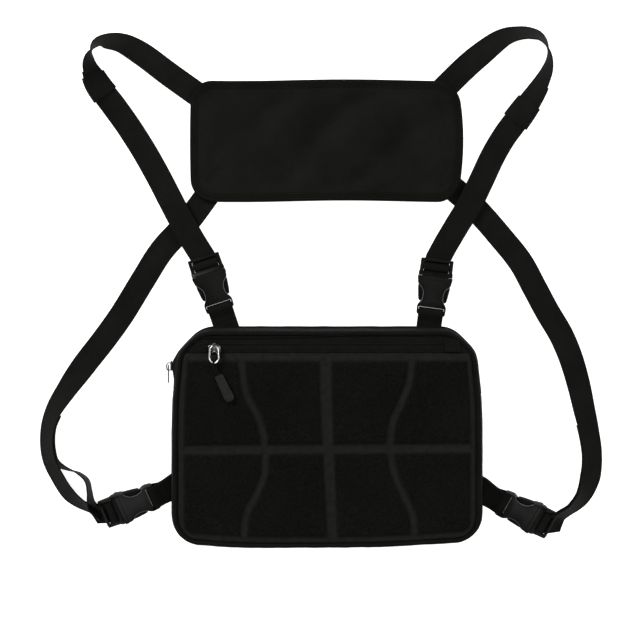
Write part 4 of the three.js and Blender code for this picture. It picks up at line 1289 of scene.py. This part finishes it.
# side-release buckles, modelled once about their own bar
buckle = {"thick": 9.4, "edge": 1.1, "mouth": 3.2, "tooth": 2.8, "ridge": 2.3}
socketShape = [(0, 13.5), (1.5, 14.1), (4, 14.3), (8, 14.3), (10.4, 13.4), (12.6, 11.8),
               (15.5, 10.6), (19, 10.2), (22.4, 10.5), (25.2, 11.6), (27.4, 13.4),
               (29.2, 15.3), (31, 16.3), (34, 16.8), (38.4, 16.9)]


def plate(name, outline, thick, across=8, crown=0.0, taper=None, smoothPath=True):
    # a symmetric plate from (along, half width) stations, crowned above and below
    shape = catmull(outline, 5)[0] if smoothPath else np.array(outline, float)
    shape = np.array(shape)

    def place(u, v):
        k = np.rint(u * (len(shape) - 1)).astype(int)
        s, half = shape[k, 0], shape[k, 1]
        return np.stack([s, (2 * v - 1) * half, 0 * s - thick / 2], 1)

    piece = gridPiece(name, len(shape) - 1, across, place, (shape[-1, 0] - shape[0, 0], 34))
    editAll(piece)
    bpy.ops.mesh.extrude_region_move(TRANSFORM_OT_translate={"value": (0, 0, thick * mm)})
    bpy.ops.object.mode_set(mode="OBJECT")
    for v in piece.data.vertices:
        p = v.co / mm
        half = np.interp(p.x, shape[:, 0], shape[:, 1])
        k = 1 - crown * (p.y / half) ** 2 / thick * 2
        if taper:
            k *= np.interp(p.x, *zip(*taper))
        v.co.z *= k
    closeUp(piece)
    return piece


def buildSocket():
    thick, mouth = buckle["thick"], buckle["mouth"]
    body = plate("socket", socketShape, thick, crown=0.7,
                 taper=[(0, 0.72), (5, 0.86), (12, 1), (33, 1), (38.4, 1)])
    softEdges(body, buckle["edge"])
    cutAway(body, block("cut", (4.2, -12.9, -9), (7.3, 12.9, 9), 0.8))
    cutAway(body, block("cut", (11.8, -13.6, -mouth), (44, 13.6, mouth), 0.6))
    # thin the tab bar so that the loop lies flush
    for z0, z1 in ((2.2, 9), (-9, -2.2)):
        cutAway(body, block("cut", (-3, -12.9, z0), (4.6, 12.9, z1), 0.5))
    # raised collar round the mouth
    collar = plate("collar", [(34.6, 17.15), (36, 17.25), (38.4, 17.25)], thick + 0.7, crown=0.7)
    softEdges(collar, 0.5, 2)
    cutAway(collar, block("cut", (30, -13.6, -mouth), (44, 13.6, mouth), 0.6))
    body = joined("socket", collar, body)
    return smooth(body, 35)


def buildMale():
    # base that closes the mouth, swept down to the ladder lock
    base = plate("male", [(38.7, 16.8), (40, 16.9), (41.6, 16.9), (43.2, 16.7)], 8.6, crown=0.8,
                 taper=[(38.7, 1), (39.3, 0.98), (41.2, 0.8), (43.2, 0.5)])
    softEdges(base, 0.6, 2)
    parts = [base]
    # side rails, slimmer towards the end
    for side in (1, -1):
        rail = block("rail", (41.5, side * 14.55 - 1.85, -2.2), (56, side * 14.55 + 1.85, 2.2))
        for v in rail.data.vertices:
            if v.co.x > 50 * mm:
                v.co.z *= 0.72
                v.co.y -= side * 0.15 * mm
        softEdges(rail, 0.9)
        parts.append(rail)
    parts.append(block("neck", (38.3, -13.2, -2.6), (39.6, 13.2, 2.6)))
    middle = block("bar", (45.7, -13.6, -1.6), (48.9, 13.6, 1.6), 0.9)
    outer = block("bar", (53.2, -13.6, -1.1), (56.2, 13.6, 2.2), 0.8)
    parts += [middle, outer]
    # grip teeth on the outer bar
    for k in range(9):
        y = buckle["tooth"] * (k - 4)
        parts.append(block("tooth", (53.0, y - 0.55, 1.3), (56.1, y + 0.55, 2.45), 0.25))
    prong = block("prong", (16, -2.2, -1.6), (39.5, 2.2, 1.6), 0.8)
    parts.append(prong)
    return smooth(joined("male", *parts), 35)


def buildArm():
    # springy latch arm; its ear is ribbed for the thumb
    outline = [(38.7, 8.6), (34, 10.6), (31.2, 12.4), (30.2, 13.3), (30.0, 15.2), (28.9, 15.9),
               (26, 15.7), (23, 15.3), (20, 14.9), (17.2, 14.5), (14.2, 13.9), (12.9, 12.4),
               (14.4, 10.4), (18, 9.0), (24, 8.9), (30, 8.6), (34, 7.4), (38.7, 6.2)]
    outline = outline[::-1]
    deselectAll()
    bpy.ops.mesh.primitive_circle_add(vertices=len(outline), radius=1, fill_type="NGON")
    arm = bpy.context.object
    for v, (x, y) in zip(arm.data.vertices, outline):
        v.co = Vector((x, y, -2.9)) * mm
    editAll(arm)
    bpy.ops.mesh.extrude_region_move(TRANSFORM_OT_translate={"value": (0, 0, 5.8 * mm)})
    bpy.ops.object.mode_set(mode="OBJECT")
    closeUp(arm)
    softEdges(arm, 0.55, 2)
    parts = [arm]
    for k in range(5):
        x = 18.2 + buckle["ridge"] * k
        y = np.interp(x, [14.2, 17.2, 20, 23, 26, 28.9], [13.9, 14.5, 14.9, 15.3, 15.7, 15.9])
        parts.append(rod("ridge", (x, y - 0.15, -2.3), (x, y - 0.15, 2.3), 0.42, 8))
    return smooth(joined("arm", *parts), 35)


def buildHighlightRims():
    # edges round the thumb cut-outs and the tab slot, in pale plastic: a painted highlight for the
    # light their bevels catch
    path, _ = catmull(socketShape, 6)
    path = path[(path[:, 0] > 11) & (path[:, 0] < 29.5)]
    rims = []
    high = buckle["thick"] / 2 - 0.95
    for side in (1, -1):
        for face in (1, -1):
            across = side * (path[:, 1] - 0.28)
            line = np.stack([path[:, 0], across, 0 * across + face * high], 1)
            rims.append(tube("rim", line, 0.36, 8))
    for face in (1, -1):
        line = [(7.75, y, face * (high - 0.35)) for y in np.linspace(-10.5, 10.5, 12)]
        rims.append(tube("rim", line, 0.3, 8))
    return joined("rims", *rims)


def copyOf(model, name, matrix):
    piece = model.copy()
    piece.data = model.data.copy()
    piece.name = name
    bpy.context.scene.collection.objects.link(piece)
    scaled = matrix.copy()
    scaled.translation = matrix.translation * mm
    piece.data.transform(scaled)
    piece.data.update()
    return piece


def buildBuckles():
    socket, male, arm, rims = buildSocket(), buildMale(), buildArm(), buildHighlightRims()
    turned = Matrix.Rotation(math.pi, 4, "X")
    for name in buckles:
        place = buckleMatrix(name)
        finished(copyOf(socket, name + "_buckle_socket", place), "root", plastic,
                 "buckle_plastic", name + "_socket")
        # the pale rims are a painted highlight along the bevels
        finished(copyOf(rims, name + "_socket_edge_highlights", place), "root", rubbed, "buckle_plastic")
        finished(copyOf(male, name + "_buckle_male", place), name + "_male", plastic,
                 "buckle_plastic", name + "_male_half")
        for letter, matrix in (("a", place), ("b", place @ turned)):
            finished(copyOf(arm, name + "_latch_" + letter, matrix), name + "_arm_" + letter,
                     plasticGrip, "buckle_plastic", name + "_arm_" + letter)
    for model in (socket, male, arm, rims):
        bpy.data.objects.remove(model)


buildBuckles()
print("buckles")

# zip sliders and pulls
pull = {"x": -110, "y": 91, "z": 59.1, "sliderX": -110, "zipY": 88.4, "base": 52.2,
        "bailLength": 18, "bailWidth": 11, "wire": 0.95, "cord": 1.0, "lean": 26,
        "gripWidth": 9.4, "gripThick": 3.5}


def buildFrontSlider():
    x, y, z = pull["sliderX"], pull["zipY"], pull["base"]
    # wedge-shaped body with a waisted nose, as one plate
    shape = [(-6, 2.3), (-5.2, 3.2), (-2, 4.1), (1.5, 4.3), (4.5, 3.9), (6, 3.2)]
    body = plate("slider", shape, 2.3, crown=0.5, taper=[(-6, 0.7), (-2, 1), (6, 0.9)])
    softEdges(body, 0.5, 2)
    body.data.transform(Matrix.Translation(Vector((x, y, z + 1.2)) * mm))
    # crown: a strap bent over from the nose to the tail
    top = pull["z"] + pull["wire"] + 0.75
    arch = [(x, y - 3.2, z + 1.9), (x, y - 3.7, z + 4), (x, y - 3.5, top - 1.6),
            (x, y - 2.2, top + 0.1), (x, y + 0.5, top + 0.7), (x, y + 3.6, top + 0.1),
            (x, y + 5.2, top - 1.6),
            (x, y + 5.4, z + 4), (x, y + 4.4, z + 1.9)]
    line, _ = catmull(arch, 5)
    side = np.tile([1.0, 0, 0], (len(line), 1))
    along = tangentsOf(line)
    crown = loft("crown", line, side, np.cross(along, side) * -1, roundedSection(3.4, 1.3, 0.5, 3))
    slider = joined("front_slider_body", body, crown)
    smooth(slider, 40)
    return finished(slider, "front_slider", shadedNickel, "nickel", "front_zip_slider")


def buildBail():
    # a long loop of wire that hangs over the cord's end
    w, length = pull["bailWidth"] / 2 - pull["wire"], pull["bailLength"] - 2 * pull["wire"]
    points = []
    top = 3.6
    for a in np.radians(range(0, 181, 12)):
        points.append((w * 0.86 * math.cos(a), -top + top * math.sin(a), 0))
    for a in np.radians(range(180, 361, 12)):
        points.append((w * math.cos(a), -length + w + w * math.sin(a), 0))
    points = np.array(points) + np.array([pull["x"], pull["y"], pull["z"]])
    points, = evenly(np.vstack([points, points[:1]]), 1.0)
    bail = tube("front_bail_wire", points[:-1], pull["wire"], 10, closed=True)
    return finished(bail, "front_bail", nickel, "nickel", "front_zip_bail")


def buildPull():
    lean = math.radians(pull["lean"])
    start = np.array([pull["x"] + 0.6, pull["y"] - pull["bailLength"] + 1.9, pull["z"]])
    # the grip's top, to the right of and below the bail
    gripTop = start + np.array([3.6, -12.2, -1.6])
    down = np.array([math.sin(lean), -math.cos(lean), -0.02])
    cross = np.array([math.cos(lean), math.sin(lean), 0])
    turn = [(-0.6, -5.2, -0.2), (-1.15, -0.9, 1.35), (-0.7, 1.4, 1.25), (0, 2.2, 0),
            (0.7, 1.4, -1.25), (1.15, -0.9, -1.45), (1.5, -5.2, -1.2)]
    loop = [gripTop + down * 1.5 - cross * 1.35] + [start + np.array(t) for t in turn]
    loop.append(gripTop + down * 1.5 + cross * 1.35)
    line, _ = catmull(loop, 7)
    cord = tube("front_pull_cord_loop", line, pull["cord"], 10, start=(0.3, 0.1, 1))
    finished(cord, "front_pull", webbing, "webbing", "front_pull_cord")
    # moulded grip: slim at the cord, broad and round at its end, with a sunk face and ribs
    half = pull["gripWidth"] / 2
    shape = [(0, 3.3), (0.8, 3.9), (4, 4.15), (12, 4.35), (20, half), (23.6, half),
             (25.8, half * 0.88), (27.3, half * 0.6), (28, 0.6)]
    grip = plate("front_pull_grip_rubber", shape, pull["gripThick"], crown=0.45)
    softEdges(grip, 0.8, 3)
    for side in (1, -1):
        low, high = side * 1.55 - 0.35, side * 1.55 + 0.9
        cutAway(grip, block("cut", (3.6, -2.7, low), (23.8, 2.7, high), 0.6))
        for x in (7.0, 10.4, 13.8, 17.2, 20.6):
            rib = block("rib", (x - 0.55, -2.4, -0.4), (x + 0.55, 2.4, 0.4), 0.3)
            rib.data.transform(Matrix.Translation((0, 0, side * 1.3 * mm)))
            grip = joined("front_pull_grip_rubber", rib, grip)
    turn = Matrix.Rotation(lean - math.pi / 2, 4, "Z")
    grip.data.transform(Matrix.Translation(Vector(gripTop) * mm) @ turn)
    smooth(grip, 40)
    finished(grip, "front_pull", rubber, "grip_rubber", "front_pull_grip")


def buildMainSlider():
    x, y, z = -152.8, 71.5, 27.3
    body = plate("slider", [(-5, 2.2), (-3, 3.4), (0, 3.6), (3, 3.5), (5, 2.8)], 2.0, crown=0.4)
    softEdges(body, 0.5, 2)
    stand = Matrix(((0, 0, -1, 0), (1, 0, 0, 0), (0, -1, 0, 0), (0, 0, 0, 1)))
    body.data.transform(Matrix.Translation(Vector((x - 1.0, y, z)) * mm) @ stand)
    arch = [(x - a, y + b, z) for a, b in ((1.6, -4.2), (3.4, -4.6), (5.2, -3.6), (5.6, -1),
                                           (5.2, 1.6), (3.4, 2.7), (1.6, 2.4))]
    line, _ = catmull(arch, 5)
    up = np.tile(zUp, (len(line), 1))
    along = tangentsOf(line)
    crown = loft("crown", line, up, np.cross(along, up), roundedSection(2.2, 1.1, 0.4, 3))
    slider = joined("main_slider_body", body, crown)
    closeUp(slider, False)
    smooth(slider, 40)
    finished(slider, "main_slider", shadedNickel, "nickel", "main_zip_slider")
    # a flat pull tab with an eye, hanging down the gusset
    shape = [(-0.8, 1.4), (0.2, 2.3), (2, 2.7), (8, 2.5), (13, 2.7), (15.6, 2.6), (16.8, 1.7),
             (17.2, 0.6)]
    tab = plate("main_pull_tab", shape, 1.4, crown=0.1)
    softEdges(tab, 0.4, 2)
    cutAway(tab, block("cut", (0.9, -1.4, -4), (6.8, 1.4, 4), 0.7))
    cutAway(tab, block("cut", (9.4, -1.5, 0.35), (14.8, 1.5, 4), 0.5))
    hang = Matrix(((0, 0, -1, 0), (-1, 0, 0, 0), (0, 1, 0, 0), (0, 0, 0, 1)))
    tab.data.transform(Matrix.Translation(Vector((x - 3.8, y, z)) * mm) @ hang)
    smooth(tab, 40)
    closeUp(tab, False)
    finished(tab, "main_pull", shadedNickel, "nickel", "main_zip_pull")


buildFrontSlider()
buildBail()
buildPull()
buildMainSlider()
print("sliders and pulls")

# floor, light and camera
studio = {"floor": 0.6, "camera": 2.1, "view": 0.640, "centre": (-0.007, 0.1165)}


def buildStudio():
    deselectAll()
    bpy.ops.mesh.primitive_plane_add(size=8, location=(0, 0, -0.0006))
    floor = bpy.context.object
    floor.name = "floor"
    f = Finish("floor_white", 0.9, specular=0.1)
    f.shader.inputs["Base Color"].default_value = (studio["floor"],) * 3 + (1,)
    f.shader.inputs["Emission Color"].default_value = (1, 1, 1, 1)
    f.shader.inputs["Emission Strength"].default_value = 0.95
    floor.data.materials.append(f.material)
    lights = [("key", (-1.7, 1.7, 1.7), 1.2, 84), ("fill", (1.8, 0.8, 1.7), 1.6, 30),
              ("front", (0.1, -1.9, 1.6), 1.4, 22), ("top", (0.1, 0.3, 3.4), 1.2, 12)]
    for name, spot, size, power in lights:
        deselectAll()
        aim = (Vector((0, 0.1, 0)) - Vector(spot)).to_track_quat("-Z", "Y").to_euler()
        bpy.ops.object.light_add(type="AREA", location=spot, rotation=aim)
        light = bpy.context.object
        light.name = name
        light.data.shape = "DISK"
        light.data.size = size
        light.data.energy = power
    world = bpy.data.worlds.new("studio")
    bpy.context.scene.world = world
    world.use_nodes = True
    background = world.node_tree.nodes["Background"]
    background.inputs[0].default_value = (1, 1, 1, 1)
    background.inputs[1].default_value = 0.22
    bpy.ops.object.camera_add(location=(*studio["centre"], studio["camera"]), rotation=(0, 0, 0))
    camera = bpy.context.object
    camera.data.sensor_width = 36
    camera.data.lens = 36 * studio["camera"] / studio["view"]
    camera.data.clip_end = 20
    bpy.context.scene.camera = camera
    bpy.context.scene.view_settings.view_transform = "Standard"


buildStudio()
print("studio")
